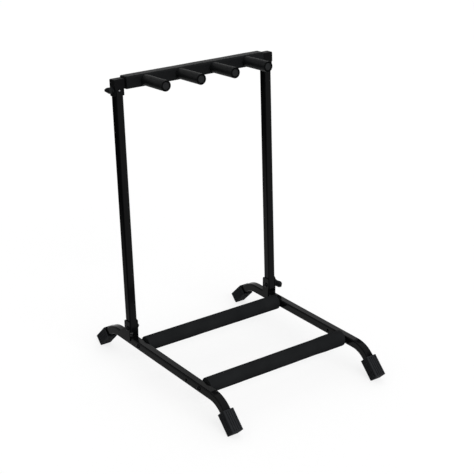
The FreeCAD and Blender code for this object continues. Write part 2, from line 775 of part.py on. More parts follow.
def make_yoke(label, side):
    """Make one yoke that straps the neck bar to a post head."""
    body = new_body(label)
    outline = sketch_on(body, "YZ_Plane")
    polygon(outline, [
        ("-tube_side / 2", "-yoke_drop"),
        ("tube_side / 2", "-yoke_drop"),
        ("tube_side / 2", "yoke_top"),
        ("-yoke_front", "yoke_top"),
        ("-yoke_front", "yoke_apron"),
        ("-tube_side / 2", "yoke_apron"),
    ])
    grow(body, outline, "2 * yoke_half", both=True)

    def outer_corner(edge):
        if abs(edge.BoundBox.XLength - edge.Length) > 0.01:
            return False
        middle = edge.BoundBox.Center
        return abs(middle.z - sheet.yoke_apron) > 0.01

    round_edges(body, "yoke_corner", outer_corner)
    open_side = sketch_on(body, "YZ_Plane")
    polygon(open_side, [
        ("tube_side", "-2 * yoke_drop"),
        ("tube_side", "cavity"),
        ("0", "cavity"),
        ("0", "yoke_apron"),
        ("-tube_side", "yoke_apron"),
        ("-tube_side", "-2 * yoke_drop"),
    ])
    cut(body, open_side, "2 * cavity", both=True)
    crown = sketch_on(body, "YZ_Plane")
    circle(crown, "0", "0", "cavity")
    cut(body, crown, "2 * cavity", both=True)
    axle = sketch_on(body, "YZ_Plane")
    circle(axle, "0", "0", "bolt_hole")
    cut(body, axle, both=True)
    spigot = sketch_on(body, "YZ_Plane", "%d * (yoke_half - yoke_wall / 2)" % -side)
    rounded_square(spigot, "spigot_side", "neck_bar_corner - tube_wall", "bar_rise")
    grow(body, spigot, "spigot_length + yoke_wall / 2", back=side > 0)
    name_node(place_on_post(body, "%d * rail_x" % side, "tilt_rise"), label)


make_yoke("left_bar_yoke", -1)
make_yoke("right_bar_yoke", 1)

bar = new_body("neck_bar")
bar_section = sketch_on(bar, "YZ_Plane")
rounded_square(bar_section, "neck_bar_side", "neck_bar_corner")
rounded_square(bar_section, "neck_bar_side - 2 * tube_wall", "neck_bar_corner - tube_wall")
grow(bar, bar_section, "neck_bar_length", both=True)
name_node(place_on_post(bar, "0", "tilt_rise + bar_rise"), "neck_bar")

PEGS = (
    ("outer_left_peg", "-1.5 * peg_pitch"),
    ("inner_left_peg", "-0.5 * peg_pitch"),
    ("inner_right_peg", "0.5 * peg_pitch"),
    ("outer_right_peg", "1.5 * peg_pitch"),
)

pad_body = new_body("neck_bar_foam")
pad_section = sketch_on(pad_body, "YZ_Plane", "neck_bar_length / 2 - neck_foam_right_gap")
rounded_square(pad_section, "neck_foam", "neck_foam_corner")
rounded_square(pad_section, "neck_bar_side + 2 * foam_fit", "neck_bar_corner")
grow(pad_body, pad_section, "neck_bar_length - neck_foam_left_gap - neck_foam_right_gap", back=True)
peg_holes = sketch_on(pad_body, "XZ_Plane")
for peg_name, peg_x in PEGS:
    circle(peg_holes, peg_x, "0", "round_tube / 2 + foam_fit")
cut(pad_body, peg_holes, back=True)
name_node(place_on_post(pad_body, "0", "tilt_rise + bar_rise"), "neck_bar_foam")


def make_peg(label, across):
    """Make one peg: tube, foam sleeve and end cap."""
    rise = "tilt_rise + bar_rise"
    tube = turned_piece(label, "Y", tube_section(
        "-neck_bar_side / 2", "-peg_end", "round_tube / 2", "round_bore"))
    name_node(place_on_post(tube, across, rise), label)

    sleeve_bore = "round_tube / 2 + foam_fit"
    sleeve = turned_piece(label + "_foam", "Y", [
        ("-neck_foam / 2 + neck_foam_corner / 2", sleeve_bore),
        ("-peg_reach", sleeve_bore),
        ("-peg_reach", "peg_foam / 2 - peg_foam_edge"),
        ("-peg_reach + peg_foam_edge * 0.4", "peg_foam / 2 - peg_foam_edge * 0.3"),
        ("-peg_reach + peg_foam_edge", "peg_foam / 2"),
        ("-neck_foam / 2 + neck_foam_corner / 2", "peg_foam / 2"),
    ])
    saddle = sketch_on(sleeve, "YZ_Plane")
    rounded_square(saddle, "neck_foam + 2 * foam_fit", "neck_foam_corner")
    cut(sleeve, saddle, both=True)
    name_node(place_on_post(sleeve, across, rise), label + "_foam")

    head = "peg_end + peg_cap_head"
    cap = turned_piece(label + "_cap", "Y", [
        ("-(%s)" % head, "0"),
        ("-(%s)" % head, "round_tube / 2 - peg_cap_edge"),
        ("-(%s) + peg_cap_edge" % head, "round_tube / 2"),
        ("-peg_end", "round_tube / 2"),
        ("-peg_end", "round_bore"),
        ("-peg_end + peg_cap_shank", "round_bore"),
        ("-peg_end + peg_cap_shank", "0"),
    ])
    name_node(place_on_post(cap, across, rise), label + "_cap")


for peg_name, peg_x in PEGS:
    make_peg(peg_name, peg_x)

left_pin = turned_piece("left_tilt_bolt", "X", bolt_section(
    "yoke_half", 1, "low_head", "low_head_height", "-(yoke_half + knob_gap + knob_bore - bolt_tip_gap)"))
name_node(place_on_post(left_pin, "-rail_x", "tilt_rise"), "left_tilt_bolt")
right_pin = turned_piece("right_tilt_bolt", "X", bolt_section(
    "-yoke_half", -1, "low_head", "low_head_height", "yoke_half + nut_height + bolt_end"))
name_node(place_on_post(right_pin, "rail_x", "tilt_rise"), "right_tilt_bolt")
right_nut = make_nut("right_tilt_nut", "yoke_half", 1)
name_node(place_on_post(right_nut, "rail_x", "tilt_rise"), "right_tilt_nut")
tilt_knob = make_knob("tilt_knob", -1, "tilt_knob_span")
name_node(place_on_post(tilt_knob, "-rail_x", "tilt_rise"), "tilt_knob")

# Every piece is checked and written on its own

doc.recompute()
os.makedirs("parts", exist_ok=True)
for item in doc.Objects:
    if "Invalid" in item.State or "Error" in item.State:
        raise RuntimeError("%s is not well formed: %s" % (item.Name, item.State))
for item in nodes:
    shape = item.Shape
    if shape.isNull() or not shape.isValid():
        raise RuntimeError("%s has no valid shape" % item.Label)
    shape.exportStep("parts/%s.step" % item.Label)
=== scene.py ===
"""Folding multi guitar stand in black: coated square tube, foam sleeves and ribbed rubber boots.

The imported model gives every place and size. Sleeves, boots, knobs, caps and fasteners are modelled
here in full and stand for the plain solids; tubes keep their own solids and get a finish.
"""
import json
import logging
import math
from collections.abc import Callable
from dataclasses import dataclass
from enum import Enum

import bmesh
import bpy
from mathutils import Matrix, Vector

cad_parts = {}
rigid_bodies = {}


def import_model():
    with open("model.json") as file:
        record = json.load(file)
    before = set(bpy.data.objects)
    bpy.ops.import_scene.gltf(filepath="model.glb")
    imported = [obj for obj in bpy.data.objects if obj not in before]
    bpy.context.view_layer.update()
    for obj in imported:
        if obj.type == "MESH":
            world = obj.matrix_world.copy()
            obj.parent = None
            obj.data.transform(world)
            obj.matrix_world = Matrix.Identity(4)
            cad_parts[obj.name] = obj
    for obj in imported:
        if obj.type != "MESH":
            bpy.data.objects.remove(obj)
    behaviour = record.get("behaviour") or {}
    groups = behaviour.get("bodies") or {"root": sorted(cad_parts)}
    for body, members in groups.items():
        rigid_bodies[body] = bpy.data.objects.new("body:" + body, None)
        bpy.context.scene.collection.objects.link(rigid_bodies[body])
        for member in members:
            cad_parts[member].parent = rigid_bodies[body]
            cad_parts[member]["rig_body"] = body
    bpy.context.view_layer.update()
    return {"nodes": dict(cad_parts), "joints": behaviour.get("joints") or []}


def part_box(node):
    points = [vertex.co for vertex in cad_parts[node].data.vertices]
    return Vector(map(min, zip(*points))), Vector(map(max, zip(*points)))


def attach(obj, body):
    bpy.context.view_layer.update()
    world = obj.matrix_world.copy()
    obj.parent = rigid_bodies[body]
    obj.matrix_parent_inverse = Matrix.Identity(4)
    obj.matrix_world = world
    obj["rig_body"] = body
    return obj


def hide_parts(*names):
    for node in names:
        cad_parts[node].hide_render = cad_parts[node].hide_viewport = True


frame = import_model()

MM = 0.001
TINY = 0.02 * MM
WHITE = (1.0, 1.0, 1.0, 1.0)
# The angle in degrees from which an edge of soft goods is shaded sharp.
SOFT_CREASE = 34.0
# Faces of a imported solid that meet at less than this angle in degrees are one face.
LEVEL_ANGLE = 0.5
# Cosines to an axis: a face looks along it or lies square to it, an edge runs along it or across it.
FACING = 0.9
FLAT = 0.999
ALONG = 0.99
ACROSS = 0.1
# Noise rarely leaves this middle band of heights, so the gloss is spread over it.
GRAIN_LOW = 0.3
GRAIN_HIGH = 0.7
DRIFT_DETAIL = 4.0
GRAIN_DETAIL = 2.0
log = logging.getLogger("guitar_stand")

Triple = tuple[float, float, float]
Test = Callable[[Vector, Vector], bool]


class Pick(Enum):
    """Kinds of mesh element that a test can pick."""

    EDGES = "EDGE"
    FACES = "FACE"


class Drive(Enum):
    """What a driver turns a fastener by."""

    HEX_SOCKET = "hex socket"
    CROSS = "cross recess"
    NONE = "none"


def linear(code: str) -> tuple[float, float, float, float]:
    """Turn an sRGB hex colour into linear light, by the curve of that standard.

    Args:
        code: The colour as #rrggbb.

    Returns:
        Red, green, blue and a full alpha.
    """
    parts = [int(code[i:i + 2], 16) / 255 for i in (1, 3, 5)]
    light = [part / 12.92 if part <= 0.04045 else ((part + 0.055) / 1.055) ** 2.4 for part in parts]
    return (*light, 1.0)


def per_metre(size_mm: float) -> float:
    """Turn the size of a pattern's cell in millimetres into a texture scale."""
    return 1.0 / (size_mm * MM)


def add_node(
    tree: bpy.types.NodeTree,
    kind: str,
    sockets: dict[str, object] | None = None,
    links: dict[str, bpy.types.NodeSocket] | None = None,
    **settings: object,
) -> bpy.types.Node:
    """Add one node to a tree with its settings, socket values and links.

    Args:
        tree: The tree that gets the node.
        kind: The node's type name.
        sockets: Values by the identifier of an input.
        links: Source sockets by the identifier of an input.
        settings: Properties of the node.

    Returns:
        The new node.
    """
    node = tree.nodes.new(kind)
    for name, value in settings.items():
        setattr(node, name, value)
    inputs = {socket.identifier: socket for socket in node.inputs}
    for name, value in (sockets or {}).items():
        inputs[name].default_value = value
    for name, source in (links or {}).items():
        tree.links.new(source, inputs[name])
    return node


# Finishes

@dataclass(frozen=True)
class Finish:
    """A surface as it was made, with the values that its look starts from.

    Attributes:
        name: What the material is and how it was finished.
        dark: The darker of the two colours that it drifts between.
        light: The lighter one.
        smooth: Its roughness in the hollows of the grain.
        rough: Its roughness on the crests.
        drift_mm: How far apart the clouds of colour lie.
        grain_mm: How wide the grain is, coarser than life where the real one is too fine to show.
        relief_mm: How deep the grain is.
        ior: Its index of refraction, matched down to how little the real one mirrors.
        metallic: 1 for bare metal.
    """

    name: str
    dark: str
    light: str
    smooth: float
    rough: float
    drift_mm: float
    grain_mm: float
    relief_mm: float
    ior: float = 1.5
    metallic: float = 0.0

    def material(self) -> bpy.types.Material:
        """Give the finish's material, made once."""
        found = bpy.data.materials.get(self.name)
        return found if found else self._make()

    def _make(self) -> bpy.types.Material:
        """Build the node tree: drifting colour, uneven gloss and a raised grain.

        Returns:
            The new material.
        """
        made = bpy.data.materials.new(self.name)
        made.use_nodes = True
        tree = made.node_tree
        tree.nodes.clear()
        place = add_node(tree, "ShaderNodeTexCoord").outputs["Object"]
        drift = add_node(
            tree,
            "ShaderNodeTexNoise",
            {"Scale": per_metre(self.drift_mm), "Detail": DRIFT_DETAIL},
            {"Vector": place},
        ).outputs[0]
        colour = add_node(
            tree,
            "ShaderNodeMix",
            {"A_Color": linear(self.dark), "B_Color": linear(self.light)},
            {"Factor_Float": drift},
            data_type="RGBA",
        )
        height = self.grain(tree, place)
        gloss = add_node(
            tree,
            "ShaderNodeMapRange",
            {"From Min": GRAIN_LOW, "From Max": GRAIN_HIGH, "To Min": self.smooth, "To Max": self.rough},
            {"Value": height},
        )
        bump = add_node(
            tree, "ShaderNodeBump", {"Strength": 1.0, "Distance": self.relief_mm * MM}, {"Height": height}
        )
        result = [socket for socket in colour.outputs if socket.identifier == "Result_Color"][0]
        shader = add_node(
            tree,
            "ShaderNodeBsdfPrincipled",
            {"IOR": self.ior, "Metallic": self.metallic},
            {"Base Color": result, "Roughness": gloss.outputs[0], "Normal": bump.outputs[0]},
        )
        add_node(tree, "ShaderNodeOutputMaterial", links={"Surface": shader.outputs[0]})
        return made

    def grain(self, tree: bpy.types.NodeTree, place: bpy.types.NodeSocket) -> bpy.types.NodeSocket:
        """Draw the fine relief as rounded noise.

        Args:
            tree: The material's tree.
            place: The socket that gives the place on the piece.

        Returns:
            The socket that gives the height.
        """
        noise = add_node(
            tree,
            "ShaderNodeTexNoise",
            {"Scale": per_metre(self.grain_mm), "Detail": GRAIN_DETAIL},
            {"Vector": place},
        )
        return noise.outputs[0]


@dataclass(frozen=True)
class CellFoam(Finish):
    """Closed cell foam: the knife and the mould leave small open pits all over."""

    def grain(self, tree: bpy.types.NodeTree, place: bpy.types.NodeSocket) -> bpy.types.NodeSocket:
        """Draw the pits as rounded cells.

        Args:
            tree: The material's tree.
            place: The socket that gives the place on the piece.

        Returns:
            The socket that gives the height.
        """
        cells = add_node(
            tree,
            "ShaderNodeTexVoronoi",
            {"Scale": per_metre(self.grain_mm)},
            {"Vector": place},
            feature="F1",
        )
        return cells.outputs["Distance"]


# Satin black powder coat on steel tube: a soft reflection of what is above, with faint orange peel.
POWDER_COAT = Finish(
    "powder_coated_steel", dark="#080809", light="#0d0d0e", smooth=0.12, rough=0.19,
    drift_mm=60.0, grain_mm=3.5, relief_mm=0.02, ior=1.17,
)
# Black EVA foam tube: dull, with pits drawn a few times coarser than life so that they show.
FOAM = CellFoam(
    "eva_foam", dark="#171819", light="#252627", smooth=0.66, rough=0.84,
    drift_mm=45.0, grain_mm=2.2, relief_mm=0.18, ior=1.045,
)
# Black nitrile foam of the neck rest: a finer skin that catches a soft streak of light.
NECK_FOAM = CellFoam(
    "nitrile_foam", dark="#0f1011", light="#191a1b", smooth=0.40, rough=0.54,
    drift_mm=35.0, grain_mm=1.8, relief_mm=0.11, ior=1.14,
)
# The same foam where the knife cut it: the dull dark of open cells, made darker still with painted shade
# for the ring around the cap.
CUT_FOAM_AND_SHADE = CellFoam(
    "nitrile_foam_cut_and_shade", dark="#090a0a", light="#101011", smooth=0.85, rough=0.95,
    drift_mm=20.0, grain_mm=1.6, relief_mm=0.2, ior=1.04,
)
# Black moulded rubber: dull, a little bloomed, with the grain of the mould.
RUBBER = Finish(
    "moulded_rubber", dark="#202123", light="#2c2d2f", smooth=0.60, rough=0.75,
    drift_mm=18.0, grain_mm=1.6, relief_mm=0.05, ior=1.1,
)
# Black nylon from a spark eroded mould: an even grain, drawn coarser than life, and a soft sheen.
NYLON = Finish(
    "moulded_nylon", dark="#0d0d0e", light="#131314", smooth=0.36, rough=0.50,
    drift_mm=25.0, grain_mm=1.2, relief_mm=0.03, ior=1.10,
)
# Glass filled nylon of the knobs: fibres near the skin make the black greyer and dull it a little.
GLASS_NYLON = Finish(
    "glass_filled_nylon", dark="#141516", light="#1e1f20", smooth=0.42, rough=0.56,
    drift_mm=15.0, grain_mm=1.2, relief_mm=0.03, ior=1.14,
)
# Black polyethylene of the end caps: greyer than the nylon, waxy and almost smooth.
CAP_PLASTIC = Finish(
    "moulded_polyethylene", dark="#18191a", light="#222324", smooth=0.40, rough=0.52,
    drift_mm=12.0, grain_mm=1.5, relief_mm=0.02, ior=1.2,
)
# Zinc plate that has dulled: grey silver with faint clouds from the bath.
ZINC = Finish(
    "zinc_plated_steel", dark="#77787a", light="#939496", smooth=0.26, rough=0.40,
    drift_mm=4.0, grain_mm=0.8, relief_mm=0.01, metallic=1.0,
)
# Black oxide on steel screws: a dark metal with an oily sheen.
BLACK_OXIDE = Finish(
    "black_oxide_steel", dark="#0f0f11", light="#1a1a1c", smooth=0.30, rough=0.42,
    drift_mm=5.0, grain_mm=0.8, relief_mm=0.01, metallic=1.0,
)


# The modelling bench

class Workpiece:
    """One mesh on the bench, shaped with the modelling tools around the Z axis."""

    def __init__(self, name: str) -> None:
        """Name the piece before its first solid is added."""
        self.name = name
        self.item: bpy.types.Object | None = None

    def cylinder(self, radius: float, length: float, sides: int) -> "Workpiece":
        """Start from a cylinder that stands on the origin.

        Args:
            radius: Its radius.
            length: Its height.
            sides: How many flats go round.

        Returns:
            The piece, open for shaping.
        """
        bpy.ops.object.select_all(action="DESELECT")
        bpy.ops.mesh.primitive_cylinder_add(
            vertices=sides, radius=radius, depth=length, location=(0, 0, length / 2)
        )
        return self._adopt()

    def block(self, across: float, deep: float, high: float) -> "Workpiece":
        """Start from a block that stands on the origin.

        Args:
            across: Its size along X.
            deep: Its size along Y.
            high: Its size along Z.

        Returns:
            The piece, open for shaping.
        """
        bpy.ops.object.select_all(action="DESELECT")
        bpy.ops.mesh.primitive_cube_add(size=1, location=(0, 0, high / 2))
        bpy.context.active_object.scale = (across, deep, high)
        return self._adopt()

    def solid_of(self, node: str) -> "Workpiece":
        """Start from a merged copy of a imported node's mesh.

        Args:
            node: The node's name.

        Returns:
            The piece, open for shaping.
        """
        bpy.ops.object.select_all(action="DESELECT")
        mesh = frame["nodes"][node].data.copy()
        mesh.materials.clear()
        copy = bpy.data.objects.new(self.name, mesh)
        bpy.context.scene.collection.objects.link(copy)
        bpy.context.view_layer.objects.active = copy
        copy.select_set(True)
        self._adopt()
        bpy.ops.mesh.select_all(action="SELECT")
        bpy.ops.mesh.customdata_custom_splitnormals_clear()
        bpy.ops.mesh.remove_doubles(threshold=TINY / 4)
        bpy.ops.mesh.dissolve_limited(angle_limit=math.radians(LEVEL_ANGLE))
        return self

    def _adopt(self) -> "Workpiece":
        """Take the new object, settle its size and open it.

        Returns:
            The piece, open for shaping.
        """
        self.item = bpy.context.active_object
        self.rename(self.name)
        bpy.ops.object.transform_apply(location=True, rotation=True, scale=True)
        bpy.ops.object.mode_set(mode="EDIT")
        return self

    def rename(self, name: str) -> "Workpiece":
        """Name the piece, its object and its mesh."""
        self.name = self.item.name = self.item.data.name = name
        return self

    def pick(self, kind: Pick, test: Test) -> "Workpiece":
        """Select the edges or faces that a test of place and direction picks.

        Args:
            kind: Edges or faces.
            test: Takes the element's middle and its run or normal.

        Returns:
            The piece itself.
        """
        bpy.ops.mesh.select_mode(type=kind.value)
        bpy.ops.mesh.select_all(action="DESELECT")
        mesh = bmesh.from_edit_mesh(self.item.data)
        mesh.normal_update()
        if kind is Pick.FACES:
            for face in mesh.faces:
                if test(face.calc_center_median(), face.normal):
                    face.select_set(True)
        else:
            for edge in mesh.edges:
                first, last = (corner.co for corner in edge.verts)
                if test((first + last) / 2, (last - first).normalized()):
                    edge.select_set(True)
        bmesh.update_edit_mesh(self.item.data)
        return self

    def inset(self, width: float, depth: float = 0.0, apart: bool = False) -> "Workpiece":
        """Draw the picked faces in, each apart if asked, and raise or sink them."""
        bpy.ops.mesh.inset(thickness=width, depth=depth, use_individual=apart)
        return self

    def pull(self, way: Triple) -> "Workpiece":
        """Extrude the picked faces along a vector."""
        bpy.ops.mesh.extrude_region_move(TRANSFORM_OT_translate={"value": way})
        return self

    def scale(self, share: Triple, reach: float = 0.0) -> "Workpiece":
        """Scale the picked elements about their own middle.

        Args:
            share: The scale along each axis.
            reach: How far around them the change fades out.

        Returns:
            The piece itself.
        """
        fade = {"use_proportional_edit": reach > 0, "proportional_size": reach + TINY}
        bpy.ops.transform.resize(value=share, **fade)
        return self

    def shift(self, way: Triple) -> "Workpiece":
        """Move the picked elements along a vector."""
        bpy.ops.transform.translate(value=way)
        return self

    def round(self, radius: float, steps: int) -> "Workpiece":
        """Round the picked edges."""
        bpy.ops.mesh.bevel(offset=radius, segments=steps, affect="EDGES", clamp_overlap=True)
        return self

    def tunnel(self) -> "Workpiece":
        """Join the two picked faces by a hole."""
        bpy.ops.mesh.bridge_edge_loops()
        return self

    def divide(self, cuts: int) -> "Workpiece":
        """Cut the picked edges evenly."""
        bpy.ops.mesh.subdivide(number_cuts=cuts)
        return self

    def slice(self, place: Triple, normal: Triple, trim: bool = False) -> "Workpiece":
        """Cut the whole mesh along a plane.

        Args:
            place: A point of the plane.
            normal: The plane's normal.
            trim: Whether what lies behind the plane goes and the cut is closed.

        Returns:
            The piece itself.
        """
        bpy.ops.mesh.select_all(action="SELECT")
        bpy.ops.mesh.bisect(plane_co=place, plane_no=normal, use_fill=trim, clear_inner=trim)
        return self

    def close(self) -> "Workpiece":
        """Leave the mesh's edit mode."""
        bpy.ops.object.mode_set(mode="OBJECT")
        return self

    def choose(self) -> None:
        """Make this the one selected object."""
        bpy.ops.object.select_all(action="DESELECT")
        self.item.select_set(True)
        bpy.context.view_layer.objects.active = self.item

    def modify(self, kind: str, **settings: object) -> "Workpiece":
        """Add a modifier with its settings and apply it.

        Args:
            kind: The modifier's type name.
            settings: Properties of the modifier.

        Returns:
            The piece itself.
        """
        self.choose()
        modifier = self.item.modifiers.new(kind.title(), kind)
        for name, value in settings.items():
            setattr(modifier, name, value)
        bpy.ops.object.modifier_apply(modifier=modifier.name)
        return self

    def cut_by(self, tool: "Workpiece", keep: str = "DIFFERENCE") -> "Workpiece":
        """Cut this piece by another, which is used up, and mend the seams.

        Args:
            tool: The closed piece that cuts.
            keep: What is kept of the two, as the Boolean names it.

        Returns:
            The piece itself.
        """
        self.modify("BOOLEAN", object=tool.item, operation=keep, solver="MANIFOLD")
        bpy.data.objects.remove(tool.item)
        bpy.ops.object.mode_set(mode="EDIT")
        bpy.ops.mesh.select_all(action="SELECT")
        bpy.ops.mesh.remove_doubles(threshold=TINY / 2)
        bpy.ops.mesh.normals_make_consistent(inside=False)
        return self.close()

    def place(self, where: Matrix) -> "Workpiece":
        """Set the piece in the stand's frame, with its place in its mesh.

        Args:
            where: The placement.

        Returns:
            The piece itself.
        """
        self.choose()
        self.item.matrix_world = where
        bpy.ops.object.transform_apply(location=True, rotation=True, scale=True)
        return self

    def ripple(self, height: float, length_mm: float) -> "Workpiece":
        """Make the surface a little uneven, as soft goods are.

        Args:
            height: How far the surface wanders.
            length_mm: The length of the waves in millimetres.

        Returns:
            The piece itself.
        """
        waves = bpy.data.textures.new(self.name + "_waves", "CLOUDS")
        waves.noise_scale = length_mm * MM
        waves.noise_depth = 1
        return self.modify("DISPLACE", texture=waves, strength=height, texture_coords="LOCAL")

    def smooth(self, crease: float = SOFT_CREASE) -> "Workpiece":
        """Shade the piece smooth, with its wide faces kept flat.

        Args:
            crease: The angle in degrees from which an edge stays sharp.

        Returns:
            The piece itself.
        """
        self.choose()
        bpy.ops.object.shade_smooth_by_angle(angle=math.radians(crease))
        return self.modify("WEIGHTED_NORMAL", keep_sharp=True)

    def copy(self, name: str, where: Matrix) -> "Workpiece":
        """Copy the piece with its own mesh and set the copy in place.

        Args:
            name: The copy's name.
            where: The copy's placement.

        Returns:
            The copy.
        """
        self.choose()
        bpy.ops.object.duplicate(linked=False)
        twin = Workpiece(name)
        twin.item = bpy.context.active_object
        return twin.rename(name).place(where)

    def drop(self) -> None:
        """Clear a pattern piece away once its copies are made."""
        bpy.data.objects.remove(self.item)

    def join(self, others: list["Workpiece"]) -> "Workpiece":
        """Make a set of like pieces one object.

        Args:
            others: The pieces that this one takes in.

        Returns:
            The piece itself.
        """
        self.choose()
        for other in others:
            other.item.select_set(True)
        bpy.ops.object.join()
        return self

    def face(self, finish: Finish, test: Test) -> "Workpiece":
        """Give the faces that a test picks a finish of their own.

        Args:
            finish: The finish of those faces.
            test: Takes a face's middle and its normal.

        Returns:
            The piece itself.
        """
        self.choose()
        self.item.data.materials.append(finish.material())
        self.item.active_material_index = len(self.item.data.materials) - 1
        bpy.ops.object.mode_set(mode="EDIT")
        self.pick(Pick.FACES, test)
        bpy.ops.object.material_slot_assign()
        return self.close()

    def dress(self, finish: Finish, slot: str, node: str) -> bpy.types.Object:
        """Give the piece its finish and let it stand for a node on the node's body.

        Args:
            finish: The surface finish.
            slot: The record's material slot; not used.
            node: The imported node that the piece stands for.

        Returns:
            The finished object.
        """
        if not self.item.data.materials:
            self.item.data.materials.append(finish.material())
        self.item.data.materials[0] = finish.material()
        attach(self.item, frame["nodes"][node]["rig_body"])
        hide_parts(node)
        log.info("%s: %d faces for %s", self.item.name, len(self.item.data.polygons), node)
        return self.item


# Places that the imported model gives

def joint_place(name: str) -> Vector:
    """Give the place of a joint's axis in metres."""
    return Vector(next(joint["pos_m"] for joint in frame["joints"] if joint["name"] == name))


FOLD_AXIS = joint_place("upright_fold")
TILT_AXIS = joint_place("neck_rest_tilt")
POST_LEAN = math.atan2(TILT_AXIS.y - FOLD_AXIS.y, TILT_AXIS.z - FOLD_AXIS.z)
LEANING = Matrix.Rotation(-POST_LEAN, 4, "X")
POST_FRONT = LEANING @ Vector((0, -1, 0))
PEGS = ("outer_left_peg", "inner_left_peg", "inner_right_peg", "outer_right_peg")


def middle(node: str) -> Vector:
    """Give the middle of a node's box."""
    low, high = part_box(node)
    return (low + high) / 2


def span(node: str, turned: Matrix | None = None) -> tuple[Vector, Vector]:
    """Give a node's lowest and highest corners in turned axes.

    Args:
        node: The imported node.
        turned: The turn of the axes, or None for the stand's own.

    Returns:
        The lowest and highest corners, relative to the turned axes' origin.
    """
    back = (turned or Matrix.Identity(4)).inverted()
    points = [back @ corner.co for corner in frame["nodes"][node].data.vertices]
    low = Vector([min(point[axis] for point in points) for axis in range(3)])
    high = Vector([max(point[axis] for point in points) for axis in range(3)])
    return low, high


def pointing(way: Vector, place: Vector) -> Matrix:
    """Give the placement that turns a piece's Z axis along a direction at a place."""
    return Matrix.Translation(place) @ way.to_track_quat("Z", "Y").to_matrix().to_4x4()


# Foam

@dataclass
class RestSleeve:
    """Thick round foam sleeve of a cross bar, where the guitar bodies stand."""

    bar: str
    bunch: float = 1.0
    bunch_at: float = 0.86
    bunch_reach: float = 30.0 * MM
    knife_edge: float = 1.3 * MM
    fit: float = 0.1 * MM
    sides: int = 72
    rings: int = 44
    unevenness: float = 0.5 * MM
    wave_mm: float = 55.0

    def build(self) -> Workpiece:
        """Model the sleeve with its bore and soft cut ends.

        Returns:
            The piece, set in place.
        """
        node = self.bar + "_foam"
        low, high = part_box(node)
        length = high.x - low.x
        radius = (high.z - low.z) / 2
        bar_low, bar_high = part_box(self.bar)
        bore = (bar_high.z - bar_low.z) / 2 + self.fit
        wall = (radius + bore) / 2
        piece = Workpiece(self.bar + "_sleeve").cylinder(radius, length, self.sides)
        piece.pick(Pick.FACES, lambda at, way: abs(way.z) > FACING).inset(radius - bore).tunnel()
        piece.pick(Pick.EDGES, lambda at, way: abs(way.z) < ACROSS and at.xy.length > wall)
        piece.round(self.knife_edge, steps=5)
        piece.pick(Pick.EDGES, lambda at, way: abs(way.z) > ALONG and at.xy.length > wall)
        piece.divide(self.rings)
        piece.pick(Pick.EDGES, lambda at, way: abs(way.z) < ACROSS and at.z > self.bunch_at * length)
        piece.scale((self.bunch, self.bunch, 1), self.bunch_reach)
        piece.close()
        start = middle(node) - Vector((length / 2, 0, 0))
        piece.place(pointing(Vector((1, 0, 0)), start))
        return piece.ripple(self.unevenness, self.wave_mm).smooth()

    def dress(self) -> None:
        """Finish the sleeve as foam."""
        sleeve = self.build().dress(FOAM, "foam", self.bar + "_foam")


@dataclass
class NeckSleeve:
    """Foam sleeve of the neck bar, a square section with full corners."""

    corner: float = 4.0 * MM
    knife_edge: float = 1.1 * MM
    fit: float = 0.15 * MM
    hole_past: float = 5.0 * MM
    rings: int = 44
    unevenness: float = 0.45 * MM
    wave_mm: float = 40.0

    def block(self, name: str, grow: float) -> Workpiece:
        """Model the plain rounded bar of foam, along Z from the origin.

        Args:
            name: The piece's name.
            grow: How much each side stands out beyond the sleeve.

        Returns:
            The piece, open for shaping.
        """
        low, high = span("neck_bar_foam", LEANING)
        side = high.z - low.z + 2 * grow
        length = high.x - low.x
        piece = Workpiece(name).block(side, side, length)
        piece.pick(Pick.EDGES, lambda at, way: abs(way.z) > ALONG)
        return piece.round(self.corner + grow, steps=7)

    def where(self) -> Matrix:
        """Give the placement of the bar of foam, from its left end.

        Returns:
            The placement that lays the Z axis along the bar.
        """
        low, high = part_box("neck_bar_foam")
        start = middle("neck_bar_foam") - Vector(((high.x - low.x) / 2, 0, 0))
        along = Matrix(((0, 0, 1), (1, 0, 0), (0, 1, 0))).to_4x4()
        return Matrix.Translation(start) @ LEANING @ along

    def build(self) -> Workpiece:
        """Model the sleeve with its square bore, soft ends and the holes of the pegs.

        Returns:
            The piece, set in place.
        """
        low, high = span("neck_bar_foam", LEANING)
        bar_low, bar_high = span("neck_bar", LEANING)
        wall = (high.z - low.z - (bar_high.z - bar_low.z)) / 2 - self.fit
        inside = (high.z - low.z) / 2 - wall / 2
        piece = self.block("neck_bar_sleeve", 0.0)
        piece.pick(Pick.FACES, lambda at, way: abs(way.z) > FACING).inset(wall).tunnel()
        piece.pick(Pick.EDGES, lambda at, way: abs(way.z) < ACROSS and max(abs(at.x), abs(at.y)) > inside)
        piece.round(self.knife_edge, steps=5)
        piece.pick(Pick.EDGES, lambda at, way: abs(way.z) > ALONG and max(abs(at.x), abs(at.y)) > inside)
        piece.divide(self.rings)
        piece.close().place(self.where())
        holes = [self._peg_hole(peg) for peg in PEGS]
        piece.cut_by(holes[0].join(holes[1:]))
        return piece.ripple(self.unevenness, self.wave_mm).smooth()

    def _peg_hole(self, peg: str) -> Workpiece:
        """Model the plug of air that a peg's tube takes up in the sleeve.

        Args:
            peg: The peg's name.

        Returns:
            The piece, set in place.
        """
        low, high = span(peg, LEANING)
        radius = (high.x - low.x) / 2 + self.fit
        hole = Workpiece("hole").cylinder(radius, high.y - low.y, sides=32).close()
        root = LEANING @ Vector(((low.x + high.x) / 2, high.y + self.hole_past, (low.z + high.z) / 2))
        return hole.place(pointing(POST_FRONT, root))

    def dress(self) -> None:
        """Finish the sleeve as foam."""
        sleeve = self.build().dress(NECK_FOAM, "foam", "neck_bar_foam")


